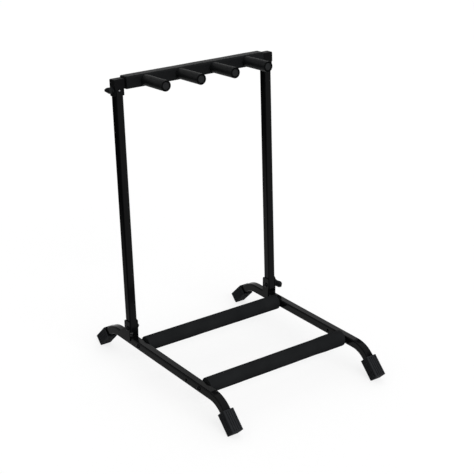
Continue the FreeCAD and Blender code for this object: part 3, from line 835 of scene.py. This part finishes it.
@dataclass
class Peg:
    """A neck peg: foam sleeve seated on the neck bar's foam, and a moulded end cap.

    Attributes:
        name: The peg's packed tube.
        cut_shade_depth: How far in from its end the sleeve shows cut foam, darkened partly with painted
            shade.
        seat: The air between the sleeve's saddle and the bar's foam.
        cap_crown: How far the dish slopes in, as a share of the cap's radius.
        cap_outer: Where the rim begins, as a share of the cap's radius.
    """

    name: str
    knife_edge: float = 1.0 * MM
    inner_edge: float = 1.0 * MM
    cut_shade_depth: float = 0.5 * MM
    seat: float = 0.1 * MM
    fit: float = 0.1 * MM
    sides: int = 56
    rings: int = 14
    unevenness: float = 0.4 * MM
    wave_mm: float = 30.0
    cap_rim: float = 0.9 * MM
    cap_groove: float = 1.6 * MM
    cap_sink: float = 0.35 * MM
    cap_crown: float = 0.3
    cap_outer: float = 0.95
    cap_sides: int = 48

    def build_sleeve(self) -> Workpiece:
        """Model the sleeve, with a rounded outer end and a saddle at the bar.

        Returns:
            The piece, set in place.
        """
        node = self.name + "_foam"
        low, high = span(node, LEANING)
        radius = (high.x - low.x) / 2
        length = high.y - low.y
        tube_low, tube_high = span(self.name, LEANING)
        bore = (tube_high.x - tube_low.x) / 2 + self.fit
        wall = (radius + bore) / 2
        piece = Workpiece(self.name + "_sleeve").cylinder(radius, length, self.sides)
        piece.pick(Pick.FACES, lambda at, way: abs(way.z) > FACING).inset(radius - bore).tunnel()
        piece.pick(Pick.EDGES, lambda at, way: at.z > length - TINY and at.xy.length > wall)
        piece.round(self.knife_edge, steps=6)
        piece.pick(Pick.EDGES, lambda at, way: at.z > length - TINY and at.xy.length < bore + TINY)
        piece.round(self.inner_edge, steps=3)
        piece.pick(Pick.EDGES, lambda at, way: abs(way.z) > ALONG and at.xy.length > wall)
        piece.divide(self.rings)
        root = LEANING @ Vector(((low.x + high.x) / 2, high.y, (low.z + high.z) / 2))
        piece.close().place(pointing(POST_FRONT, root))
        bar = NeckSleeve()
        piece.cut_by(bar.block("saddle", self.seat).close().place(bar.where()))
        return piece.ripple(self.unevenness, self.wave_mm).smooth()

    def build_cap(self) -> Workpiece:
        """Model the cap: a shallow dish in a rim, on a plug that fills the tube.

        Returns:
            The piece, set in place.
        """
        node = self.name + "_cap"
        low, high = span(node, LEANING)
        radius = (high.x - low.x) / 2
        tube_low, _ = span(self.name, LEANING)
        head = tube_low.y - low.y
        plug = high.y - tube_low.y
        neck = radius - self.cap_groove + self.cap_sink
        piece = Workpiece(self.name + "_end").cylinder(radius, head, self.cap_sides)
        piece.pick(Pick.FACES, lambda at, way: way.z > FACING)
        piece.inset(self.cap_groove).inset(self.cap_sink, -self.cap_sink)
        piece.inset(self.cap_groove).inset(radius * self.cap_crown, self.cap_sink / 2)
        outer = radius * self.cap_outer
        piece.pick(
            Pick.EDGES,
            lambda at, way: abs(way.z) < ACROSS and at.z > head - TINY and at.xy.length > outer,
        )
        piece.round(self.cap_rim, steps=3)
        piece.pick(Pick.FACES, lambda at, way: way.z < -FACING).inset(radius - neck).pull((0, 0, -plug))
        front = LEANING @ Vector(((low.x + high.x) / 2, tube_low.y, (low.z + high.z) / 2))
        piece.close().place(pointing(POST_FRONT, front))
        return piece.smooth()

    def dress(self) -> None:
        """Finish the sleeve as foam, its end as cut foam darkened partly with painted shade, and the cap as
        polyethylene.
        """
        piece = self.build_sleeve()
        end = max(corner.co.dot(POST_FRONT) for corner in piece.item.data.vertices)
        piece.item.data.materials.append(NECK_FOAM.material())
        # The end ring gets the darker cut foam: partly the dull tone of open cells, partly painted shade
        # around the cap.
        piece.face(CUT_FOAM_AND_SHADE, lambda at, way: at.dot(POST_FRONT) > end - self.cut_shade_depth)
        sleeve = piece.dress(NECK_FOAM, "foam", self.name + "_foam")
        self.build_cap().dress(CAP_PLASTIC, "black_plastic", self.name + "_cap")


# Boots

@dataclass
class Boots:
    """Four rubber boots with lengthwise ribs, pushed over the ends of the rails."""

    leg_angle: float = 45.0
    corner: float = 1.1 * MM
    groove_pitch: float = 5.2 * MM
    groove_count: int = 4
    groove_width: float = 2.2 * MM
    groove_depth: float = 1.6 * MM
    groove_slope: float = 0.15 * MM
    margin: float = 3.0 * MM
    lip: float = 1.3 * MM
    mouth_depth: float = 2.5 * MM
    socket_fit: float = 0.15 * MM
    sole: float = 11.1 * MM
    rim_edge: float = 0.35 * MM
    sole_edge: float = 0.5 * MM
    crease: float = 28.0

    def turn(self, toe: int) -> Matrix:
        """Give the turn of a boot, toe -1 at the front and 1 at the rear."""
        lean = Matrix.Rotation(math.radians(90 - self.leg_angle), 4, "X")
        return Matrix.Rotation(math.pi, 4, "Z") @ lean if toe < 0 else lean

    def grooves(self) -> list[float]:
        """List where the grooves between the ribs run across a face."""
        first = -(self.groove_count - 1) / 2 * self.groove_pitch
        return [first + i * self.groove_pitch for i in range(self.groove_count)]

    def build(self) -> Workpiece:
        """Model one boot, its sole at the origin.

        Returns:
            The closed piece on its own axis.
        """
        low, high = span("rear_left_foot", self.turn(1))
        side = high.x - low.x
        length = high.z - low.z
        rail_low, rail_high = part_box("left_base_rail")
        socket = (rail_high.x - rail_low.x) / 2 + self.socket_fit
        piece = Workpiece("boot").block(side, side, length)
        piece.pick(Pick.EDGES, lambda at, way: abs(way.z) > ALONG).round(self.corner, steps=4)
        lines = self.grooves()
        for line in lines:
            for edge in (line - self.groove_width / 2, line + self.groove_width / 2):
                piece.slice((edge, 0, 0), (1, 0, 0))
                piece.slice((0, edge, 0), (0, 1, 0))
        piece.slice((0, 0, self.margin), (0, 0, 1))
        piece.slice((0, 0, length - self.margin), (0, 0, 1))

        def in_groove(at: Vector, way: Vector) -> bool:
            """Tell whether a face of the sides lies between two ribs.

            Args:
                at: The face's middle.
                way: Its normal.

            Returns:
                True where a groove is sunk.
            """
            if abs(way.z) > ACROSS or not self.margin < at.z < length - self.margin:
                return False
            if max(abs(way.x), abs(way.y)) < FLAT:
                return False
            across = at.y if abs(way.x) > FLAT else at.x
            return any(abs(across - line) < self.groove_width / 3 for line in lines)

        piece.pick(Pick.FACES, in_groove).inset(self.groove_slope, -self.groove_depth, apart=True)
        for up in (1, -1):
            piece.pick(Pick.FACES, lambda at, way: way.z * up > ALONG)
            bpy.ops.mesh.dissolve_faces()
        piece.close()
        for width, floor in ((side - 2 * self.lip, length - self.mouth_depth), (2 * socket, self.sole)):
            hollow = Workpiece("hollow").block(width, width, length).close()
            piece.cut_by(hollow.place(Matrix.Translation((0, 0, floor))))
        bpy.ops.object.mode_set(mode="EDIT")
        piece.pick(Pick.EDGES, lambda at, way: at.z > length - TINY and abs(way.z) < ACROSS)
        piece.round(self.rim_edge, steps=2)
        piece.pick(Pick.EDGES, lambda at, way: at.z < TINY and abs(way.z) < ACROSS)
        return piece.round(self.sole_edge, steps=3).close()

    def dress(self) -> None:
        """Copy the boot to the four ends, cut it flat on the floor and finish it."""
        pattern = self.build()
        for node in ("front_left_foot", "front_right_foot", "rear_left_foot", "rear_right_foot"):
            turn = self.turn(-1 if node.startswith("front") else 1)
            low, high = span(node, turn)
            sole = turn @ Vector(((low.x + high.x) / 2, (low.y + high.y) / 2, low.z))
            boot = pattern.copy(node.replace("foot", "boot"), Matrix.Translation(sole) @ turn)
            bpy.ops.object.mode_set(mode="EDIT")
            boot.slice((0, 0, 0), (0, 0, 1), trim=True).close().smooth(self.crease)
            boot.dress(RUBBER, "boot_rubber", node)
        pattern.drop()


# Knobs

@dataclass
class WingKnob:
    """A moulded wing knob on a bolt, its wings flared away from the seat.

    Attributes:
        node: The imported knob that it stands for.
        out: 1 where the knob faces right and -1 where it faces left.
        turn: How far the wings are turned about the bolt.
        wing_span: The reach from tip to tip.
        wing_thick: How thick the wings are at the hub.
        tip_thin: The thickness of a tip as a share of the paddle's.
        crest_thin: The thickness of a paddle's outer edge as a share of the hub's.
        tip_share: The depth of a tip as a share of the paddle's.
    """

    node: str
    out: int
    turn: float
    wing_span: float
    wing_thick: float
    tip_thin: float
    crest_thin: float
    tip_share: float = 0.5
    wing_edge: float = 1.6 * MM
    root_share: float = 0.6
    seat_radius: float = 7.5 * MM
    seat_height: float = 3.0 * MM
    seat_edge: float = 0.7 * MM
    hub_radius: float = 6.4 * MM
    hub_start: float = 1.0 * MM
    hub_height: float = 10.0 * MM
    hub_edge: float = 2.6 * MM
    bore: float = 3.2 * MM
    bore_depth: float = 8.0 * MM
    paddle_at: float = 0.77
    paddle_foot: float = 0.42
    sides: int = 40
    crease: float = 50.0

    def build(self) -> Workpiece:
        """Model the wings, then join them to the turned hub and seat and bore the blind hole.

        Returns:
            The closed piece on its own axis.
        """
        piece = self._wings()
        height = self.hub_height - self.hub_start
        hub = Workpiece("hub").cylinder(self.hub_radius, height, self.sides)
        hub.pick(Pick.EDGES, lambda at, way: at.z > height - TINY).round(self.hub_edge, steps=5)
        hub.close().place(Matrix.Translation((0, 0, self.hub_start)))
        seat = Workpiece("seat").cylinder(self.seat_radius, self.seat_height, self.sides)
        seat.pick(Pick.EDGES, lambda at, way: abs(way.z) < ACROSS).round(self.seat_edge, steps=3).close()
        piece.cut_by(hub, "UNION").cut_by(seat, "UNION")
        hole = Workpiece("bore").cylinder(self.bore, self.bore_depth * 2, sides=32).close()
        return piece.cut_by(hole.place(Matrix.Translation((0, 0, -self.bore_depth))))

    def _wings(self) -> Workpiece:
        """Draw two paddles out of a block across the hub, flared away from the seat.

        Returns:
            The closed piece on its own axis.
        """
        low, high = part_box(self.node)
        reach = high.x - low.x
        half = self.wing_span / 2
        root = self.hub_radius * self.root_share
        high_root = self.hub_height - self.hub_start
        level = (self.hub_start + high_root) / 2
        piece = Workpiece(self.node + "_wings").block(self.wing_thick, 2 * root, high_root - self.hub_start)
        piece.pick(Pick.FACES, lambda at, way: True).shift((0, 0, self.hub_start))
        paddle = self.paddle_at * half
        tip_level = reach * (1 + self.paddle_foot) / 2
        for side in (1, -1):
            piece.pick(Pick.FACES, lambda at, way: way.y * side > FACING)
            piece.pull((0, side * (paddle - root), 0))
            piece.pick(
                Pick.EDGES,
                lambda at, way: at.y * side > paddle - TINY and at.z > level + TINY and abs(way.x) > FACING,
            )
            piece.shift((0, 0, reach - high_root)).scale((self.crest_thin, 1, 1))
            piece.pick(
                Pick.EDGES,
                lambda at, way: at.y * side > paddle - TINY and at.z < level and abs(way.x) > FACING,
            )
            piece.shift((0, 0, self.paddle_foot * reach - self.hub_start))
            piece.pick(Pick.FACES, lambda at, way: way.y * side > FACING and at.y * side > paddle - TINY)
            piece.pull((0, side * (half - paddle), reach - tip_level - reach * self.tip_share / 4))
            piece.scale((self.tip_thin, 1, self.tip_share))
        return piece.pick(Pick.EDGES, lambda at, way: True).round(self.wing_edge, steps=3).close()

    def dress(self) -> None:
        """Set the knob on its bolt and finish it as glass filled nylon."""
        low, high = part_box(self.node)
        base = middle(self.node)
        base.x = low.x if self.out > 0 else high.x
        outward = Matrix.Rotation(self.out * math.pi / 2, 4, "Y")
        spin = Matrix.Rotation(self.turn, 4, "X")
        piece = self.build().place(Matrix.Translation(base) @ spin @ outward)
        piece.smooth(self.crease).dress(GLASS_NYLON, "black_plastic", self.node)


# Fasteners

@dataclass
class Fastener:
    """A round headed screw, bolt or rivet along Z, the seat of its head at the origin.

    Attributes:
        dome: How far the head is rounded, as a share of its height.
        dome_limit: The most that it is rounded, as a share of its radius.
        point: How far the shank's end is chamfered, as a share of its radius.
        recess: How deep the driver goes in, as a share of the head's height.
        arm: How wide an arm of the cross is, as a share of its length.
        crease: The angle in degrees from which an edge is shaded sharp.
    """

    head_width: float
    head_height: float
    shank_width: float
    shank_length: float
    drive: Drive
    drive_width: float = 0.0
    dome: float = 0.85
    dome_limit: float = 0.55
    point: float = 0.2
    recess: float = 0.6
    arm: float = 0.26
    sides: int = 36
    crease: float = 40.0

    def build(self, name: str) -> Workpiece:
        """Model the domed head, the recess and the shank.

        Args:
            name: The piece's name.

        Returns:
            The closed piece on its own axis.
        """
        radius = self.head_width / 2
        shank = self.shank_width / 2
        piece = Workpiece(name).cylinder(radius, self.head_height, self.sides)
        piece.pick(Pick.EDGES, lambda at, way: at.z > self.head_height - TINY)
        piece.round(min(self.head_height * self.dome, radius * self.dome_limit), steps=5)
        piece.pick(Pick.FACES, lambda at, way: way.z < -FACING).inset(radius - shank)
        piece.pull((0, 0, -self.shank_length))
        piece.pick(Pick.EDGES, lambda at, way: at.z < TINY - self.shank_length)
        piece.round(shank * self.point, steps=1).close()
        for tool in self._tools():
            piece.cut_by(tool)
        return piece.smooth(self.crease)

    def _tools(self) -> list[Workpiece]:
        """Model what is cut out of the head for the driver.

        Returns:
            The closed tools, or none for a rivet.
        """
        depth = self.head_height * self.recess
        lift = Matrix.Translation((0, 0, self.head_height - depth))
        if self.drive is Drive.HEX_SOCKET:
            corner = self.drive_width / math.sqrt(3)
            return [Workpiece("key").cylinder(corner, self.head_height, sides=6).close().place(lift)]
        if self.drive is Drive.CROSS:
            arm = self.drive_width * self.arm
            sizes = ((self.drive_width, arm), (arm, self.drive_width))
            return [
                Workpiece("blade").block(across, deep, self.head_height).close().place(lift)
                for across, deep in sizes
            ]
        return []


@dataclass
class HexNut:
    """A plated nut with chamfered corners and the round collar of its locking ring."""

    node: str
    bore: float = 3.05 * MM
    collar_height: float = 1.2 * MM
    collar_inset: float = 1.5 * MM
    collar_edge: float = 0.5 * MM
    chamfer_slope: float = 0.58
    chamfer_share: float = 0.84
    crease: float = 30.0

    def build(self) -> Workpiece:
        """Model the hexagon, turn its corners down and raise the collar.

        Returns:
            The closed piece on its own axis.
        """
        low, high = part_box(self.node)
        height = high.x - low.x
        corner = (high.y - low.y) / 2
        body = height - self.collar_height
        piece = Workpiece(self.node + "_plated").cylinder(corner, body, sides=6).close()
        piece.cut_by(self._lathe(corner, body), "INTERSECT")
        sunk = body / 2
        collar = Workpiece("collar").cylinder(corner - self.collar_inset, height - sunk, sides=40)
        collar.pick(Pick.EDGES, lambda at, way: at.z > height - sunk - TINY)
        collar.round(self.collar_edge, steps=3)
        piece.cut_by(collar.close().place(Matrix.Translation((0, 0, sunk))), "UNION")
        hole = Workpiece("thread").cylinder(self.bore, height * 3, sides=32).close()
        return piece.cut_by(hole.place(Matrix.Translation((0, 0, -height))))

    def _lathe(self, corner: float, body: float) -> Workpiece:
        """Model the double cone that the corners are turned down to.

        Args:
            corner: The hexagon's radius at its corners.
            body: The hexagon's height.

        Returns:
            The closed cone, wider and longer than the nut between its chamfers.
        """
        wide = corner + TINY
        drop = (wide - corner * self.chamfer_share) * self.chamfer_slope
        narrow = 1 - 2 * (1 - corner * self.chamfer_share / wide)
        lathe = Workpiece("lathe").cylinder(wide, body - 2 * drop, sides=48)
        for up in (1, -1):
            lathe.pick(Pick.FACES, lambda at, way: way.z * up > FACING).pull((0, 0, up * 2 * drop))
            lathe.scale((narrow, narrow, 1))
        return lathe.close().place(Matrix.Translation((0, 0, drop)))

    def dress(self) -> None:
        """Set the nut on its bolt, its collar to the right, and finish it as zinc plate."""
        low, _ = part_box(self.node)
        base = middle(self.node)
        base.x = low.x
        piece = self.build().place(pointing(Vector((1, 0, 0)), base))
        piece.smooth(self.crease).dress(ZINC, "zinc", self.node)


@dataclass
class Hardware:
    """Screws, bolts, rivets and nuts of the whole stand."""

    rail_screw: Fastener
    plug_screw: Fastener
    rivet: Fastener
    post_spacing: float
    hinge_head: float = 3.0 * MM
    tilt_head: float = 2.0 * MM
    bolt_key: float = 4.0 * MM

    def set_of(self, fastener: Fastener, name: str, places: list[tuple[Vector, Vector]]) -> Workpiece:
        """Copy a fastener to its places and keep the set as one piece.

        Args:
            fastener: What is copied.
            name: The name of the set.
            places: Each head's direction and seat.

        Returns:
            The joined set.
        """
        pattern = fastener.build("pattern")
        copies = [
            pattern.copy("%s_%d" % (name, number), pointing(way, seat))
            for number, (way, seat) in enumerate(places)
        ]
        pattern.drop()
        return copies[0].join(copies[1:]).rename(name)

    def dress(self) -> None:
        """Make every set of fasteners."""
        self._rail_screws()
        self._plug_screws()
        self._rivets()
        self._bolts()
        for node in ("left_hinge_nut", "right_tilt_nut"):
            HexNut(node).dress()

    def _rail_screws(self) -> None:
        """Set the four button heads on the outer faces of the rails."""
        places = []
        for side, rail in ((-1, "left_base_rail"), (1, "right_base_rail")):
            low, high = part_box(rail)
            face = high.x if side > 0 else low.x
            for bar in ("rear_cross_bar", "front_cross_bar"):
                seat = middle(bar)
                seat.x = face
                places.append((Vector((side, 0, 0)), seat))
        screws = self.set_of(self.rail_screw, "rail_screws", places)
        screws.dress(BLACK_OXIDE, "black_steel", "cross_bar_screws")

    def _plug_screws(self) -> None:
        """Set the small plated screws on the fronts of the posts."""
        low, high = span("post_plug_screws", LEANING)
        face, _ = span("left_post", LEANING)
        places = [
            (POST_FRONT, LEANING @ Vector((side * self.post_spacing / 2, face.y, (low.z + high.z) / 2)))
            for side in (-1, 1)
        ]
        screws = self.set_of(self.plug_screw, "post_head_screws", places)
        screws.dress(ZINC, "zinc", "post_plug_screws")

    def _rivets(self) -> None:
        """Set the two rivets in the seats of the brackets."""
        low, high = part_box("bracket_rivets")
        seat = high.z - self.rivet.head_height
        places = [
            (Vector((0, 0, 1)), Vector((side * self.post_spacing / 2, (low.y + high.y) / 2, seat)))
            for side in (-1, 1)
        ]
        rivets = self.set_of(self.rivet, "seat_rivets", places)
        rivets.dress(BLACK_OXIDE, "black_steel", "bracket_rivets")

    def _bolts(self) -> None:
        """Set the hinge and tilt bolts, each with its head towards its own side."""
        for node, side, head_height in (
            ("left_hinge_bolt", -1, self.hinge_head),
            ("right_hinge_bolt", -1, self.hinge_head),
            ("left_tilt_bolt", 1, self.tilt_head),
            ("right_tilt_bolt", -1, self.tilt_head),
        ):
            low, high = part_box(node)
            seat = middle(node)
            seat.x = high.x - head_height if side > 0 else low.x + head_height
            bolt = Fastener(
                head_width=high.z - low.z,
                head_height=head_height,
                shank_width=self.rail_screw.shank_width,
                shank_length=high.x - low.x - head_height,
                drive=Drive.HEX_SOCKET,
                drive_width=self.bolt_key,
            )
            piece = bolt.build(node + "_socket_head").place(pointing(Vector((side, 0, 0)), seat))
            piece.smooth(bolt.crease).dress(BLACK_OXIDE, "black_steel", node)


# Folded and moulded parts that keep their solid, with softened edges

@dataclass
class SoftEdged:
    """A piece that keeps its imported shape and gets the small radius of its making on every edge."""

    node: str
    suffix: str
    finish: Finish
    slot: str
    radius: float
    crease: float = 40.0

    def dress(self) -> None:
        """Round the sharp edges of a copy and finish it."""
        piece = Workpiece(self.node + self.suffix).solid_of(self.node)
        bpy.ops.mesh.select_mode(type="EDGE")
        bpy.ops.mesh.select_all(action="DESELECT")
        bpy.ops.mesh.edges_select_sharp(sharpness=math.radians(self.crease))
        piece.round(self.radius, steps=2).close()
        piece.smooth(self.crease).dress(self.finish, self.slot, self.node)


def coat_tubes() -> None:
    """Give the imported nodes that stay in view, and those hidden inside, their finishes."""
    finishes = {
        "black_frame": POWDER_COAT,
        "foam": FOAM,
        "boot_rubber": RUBBER,
        "black_plastic": NYLON,
        "zinc": ZINC,
        "black_steel": BLACK_OXIDE,
    }
    for name, item in sorted(frame["nodes"].items()):
        for held in item.material_slots:
            slot = held.material.name.split(".")[0]
            held.material = finishes[slot].material()
        log.info("%s: packed solid finished", name)


# Studio

@dataclass
class Studio:
    """Camera, floor and light of the picture.

    Attributes:
        heading: The camera's turn from straight ahead, in degrees.
        dip: How far it looks down, in degrees.
        roll: How far it is tipped, in degrees.
        floor_glow: What the eye sees of the floor beyond the light that falls on it.
        sweep_top: The rise of a ray up to which a mirror sees the white sweep.
        ceiling_from: The rise from which it sees the dark ceiling.
        panel_from: The rise where the pale panel overhead begins.
        floor_mirror: How bright a mirror sees the floor.
        flag_slant: How far the dark flag's edge on the floor turns with the depth.
        flag_edge: Where the flag begins, measured to the right of the stand's middle.
        flag_full: Where it is at its darkest.
    """

    camera_place: Triple = (-1.5058, -2.0144, 1.347486)
    heading: float = 36.769
    dip: float = 22.446
    roll: float = 0.216
    focal_px: float = 1231.33
    picture_px: float = 474.0
    sensor: float = 36.0
    floor_side: float = 60.0
    floor_colour: str = "#959595"
    floor_glow: float = 0.74
    sky_level: float = 0.5
    sun_level: float = 2.0
    sun_spread: float = 50.0
    sun_from: Triple = (-0.12, -1.15, 0.6)
    fill_level: float = 1.1
    fill_spread: float = 90.0
    fill_from: Triple = (0.45, 0.9, 0.2)
    sweep_top: float = 0.46
    ceiling_from: float = 0.56
    ceiling_level: float = 0.03
    panel_from: float = 0.68
    panel_full: float = 0.75
    panel_level: float = 1.0
    floor_mirror: float = 0.85
    flag_slant: float = 0.15
    flag_edge: float = 0.0
    flag_full: float = -0.62
    flag_level: float = 0.0

    def build(self) -> None:
        """Set up the whole studio."""
        self._camera()
        self._floor()
        self._world()
        self._lamp("softbox", self.sun_level, self.sun_spread, self.sun_from)
        fill = self._lamp("fill_behind", self.fill_level, self.fill_spread, self.fill_from)
        fill.visible_glossy = False
        bpy.context.scene.view_settings.view_transform = "Standard"

    def _camera(self) -> None:
        """Put the camera where the photograph was taken from."""
        lens = bpy.data.cameras.new("camera")
        lens.sensor_width = self.sensor
        lens.lens = self.focal_px / self.picture_px * self.sensor
        camera = bpy.data.objects.new("camera", lens)
        bpy.context.scene.collection.objects.link(camera)
        camera.matrix_world = (
            Matrix.Translation(self.camera_place)
            @ Matrix.Rotation(-math.radians(self.heading), 4, "Z")
            @ Matrix.Rotation(math.radians(90 - self.dip), 4, "X")
            @ Matrix.Rotation(math.radians(self.roll), 4, "Z")
        )
        bpy.context.scene.camera = camera

    def _seen(self, tree: bpy.types.NodeTree) -> bpy.types.NodeSocket:
        """Give a socket that is 1 for what the eye, a mirror or a glass sees.

        Args:
            tree: The tree of the floor or of the world.

        Returns:
            1 for such rays and 0 for the light that falls on the stand.
        """
        path = add_node(tree, "ShaderNodeLightPath")
        first = add_node(tree, "ShaderNodeMath", links={
            "Value": path.outputs["Is Camera Ray"], "Value_001": path.outputs["Is Glossy Ray"]})
        both = add_node(tree, "ShaderNodeMath", links={
            "Value": first.outputs[0], "Value_001": path.outputs["Is Transmission Ray"]}, use_clamp=True)
        return both.outputs[0]

    def _floor(self) -> None:
        """Lay a white floor that keeps a pale shadow, with a dark flag on the left that mirrors see."""
        bpy.ops.object.select_all(action="DESELECT")
        bpy.ops.mesh.primitive_plane_add(size=self.floor_side)
        floor = bpy.context.active_object
        floor.name = "floor"
        paper = bpy.data.materials.new("white_paper_sweep")
        paper.use_nodes = True
        tree = paper.node_tree
        tree.nodes.clear()
        matt = add_node(tree, "ShaderNodeBsdfDiffuse", {"Color": linear(self.floor_colour)})
        place = add_node(tree, "ShaderNodeTexCoord").outputs["Object"]
        across = add_node(
            tree,
            "ShaderNodeVectorMath",
            {"Vector_001": (1.0, self.flag_slant, 0.0)},
            {"Vector": place},
            operation="DOT_PRODUCT",
        ).outputs["Value"]
        flag = add_node(
            tree,
            "ShaderNodeMapRange",
            {
                "From Min": self.flag_full,
                "From Max": self.flag_edge,
                "To Min": self.flag_level,
                "To Max": self.floor_mirror,
            },
            {"Value": across},
            interpolation_type="SMOOTHSTEP",
        )
        seen = add_node(
            tree,
            "ShaderNodeMath",
            {"Value_001": self.floor_glow},
            {"Value": self._seen(tree)},
            operation="MULTIPLY",
        )
        glow = add_node(tree, "ShaderNodeEmission", links={"Strength": seen.outputs[0]})
        both = add_node(tree, "ShaderNodeAddShader", links={
            "Shader": matt.outputs[0], "Shader_001": glow.outputs[0]})
        mirrored = add_node(tree, "ShaderNodeEmission", links={"Strength": flag.outputs[0]})
        gloss = add_node(tree, "ShaderNodeLightPath").outputs["Is Glossy Ray"]
        surface = add_node(tree, "ShaderNodeMixShader", links={
            "Fac": gloss, "Shader": both.outputs[0], "Shader_001": mirrored.outputs[0]})
        add_node(tree, "ShaderNodeOutputMaterial", links={"Surface": surface.outputs[0]})
        floor.data.materials.append(paper)

    def _world(self) -> None:
        """Surround the stand with a white sweep, a dark ceiling and a pale panel overhead."""
        world = bpy.data.worlds.new("white_studio")
        bpy.context.scene.world = world
        world.use_nodes = True
        tree = world.node_tree
        tree.nodes.clear()
        heading = add_node(tree, "ShaderNodeTexCoord").outputs["Generated"]
        rise = add_node(tree, "ShaderNodeSeparateXYZ", links={"Vector": heading}).outputs["Z"]
        sweep = add_node(
            tree,
            "ShaderNodeMapRange",
            {
                "From Min": self.sweep_top,
                "From Max": self.ceiling_from,
                "To Min": 1.0,
                "To Max": self.ceiling_level,
            },
            {"Value": rise},
            interpolation_type="SMOOTHSTEP",
        )
        panel = add_node(
            tree,
            "ShaderNodeMapRange",
            {
                "From Min": self.panel_from,
                "From Max": self.panel_full,
                "To Min": 0.0,
                "To Max": self.panel_level,
            },
            {"Value": rise},
            interpolation_type="SMOOTHSTEP",
        )
        room = add_node(tree, "ShaderNodeMath", links={
            "Value": sweep.outputs[0], "Value_001": panel.outputs[0]})
        light = add_node(tree, "ShaderNodeBackground", {"Color": WHITE, "Strength": self.sky_level})
        seen = add_node(tree, "ShaderNodeBackground", {"Color": WHITE}, {"Strength": room.outputs[0]})
        mixed = add_node(tree, "ShaderNodeMixShader", links={
            "Fac": self._seen(tree), "Shader": light.outputs[0], "Shader_001": seen.outputs[0]})
        add_node(tree, "ShaderNodeOutputWorld", links={"Surface": mixed.outputs[0]})

    def _lamp(self, name: str, level: float, spread: float, way: Triple) -> bpy.types.Object:
        """Hang one broad soft lamp.

        Args:
            name: The lamp's name.
            level: How much light it gives.
            spread: How wide it looks from the stand, in degrees.
            way: The way from the stand to the lamp.

        Returns:
            The lamp.
        """
        light = bpy.data.lights.new(name, "SUN")
        light.energy = level
        light.angle = math.radians(spread)
        lamp = bpy.data.objects.new(name, light)
        bpy.context.scene.collection.objects.link(lamp)
        lamp.matrix_world = pointing(Vector(way), Vector(way))
        return lamp


def main() -> None:
    """Build every sub-assembly in order."""
    logging.basicConfig(level=logging.INFO, format="%(name)s %(message)s")
    Studio().build()
    coat_tubes()
    RestSleeve("rear_cross_bar").dress()
    RestSleeve("front_cross_bar", bunch=1.05).dress()
    NeckSleeve().dress()
    for name in PEGS:
        Peg(name).dress()
    Boots().dress()
    WingKnob(
        "fold_knob",
        out=1,
        turn=math.radians(11.6),
        wing_span=36.6 * MM,
        wing_thick=14.5 * MM,
        tip_thin=0.55,
        crest_thin=1.3,
        tip_share=0.7,
        wing_edge=2.2 * MM,
    ).dress()
    WingKnob(
        "tilt_knob",
        out=-1,
        turn=-POST_LEAN,
        wing_span=22.0 * MM,
        wing_thick=12.2 * MM,
        tip_thin=0.8,
        crest_thin=0.35,
    ).dress()
    Hardware(
        rail_screw=Fastener(
            head_width=11.0 * MM,
            head_height=3.2 * MM,
            shank_width=6.0 * MM,
            shank_length=37.0 * MM,
            drive=Drive.HEX_SOCKET,
            drive_width=4.0 * MM,
        ),
        plug_screw=Fastener(
            head_width=4.8 * MM,
            head_height=1.6 * MM,
            shank_width=3.2 * MM,
            shank_length=5.2 * MM,
            drive=Drive.CROSS,
            drive_width=3.0 * MM,
        ),
        rivet=Fastener(
            head_width=8.0 * MM,
            head_height=1.4 * MM,
            shank_width=5.0 * MM,
            shank_length=5.7 * MM,
            drive=Drive.NONE,
        ),
        post_spacing=2 * middle("right_post").x,
    ).dress()
    for side in ("left", "right"):
        SoftEdged(side + "_hinge_bracket", "_folded", POWDER_COAT, "black_frame", radius=0.45 * MM).dress()
        SoftEdged(side + "_bar_yoke", "_moulded", NYLON, "black_plastic", radius=0.7 * MM).dress()


if __name__ == "__main__":
    main()
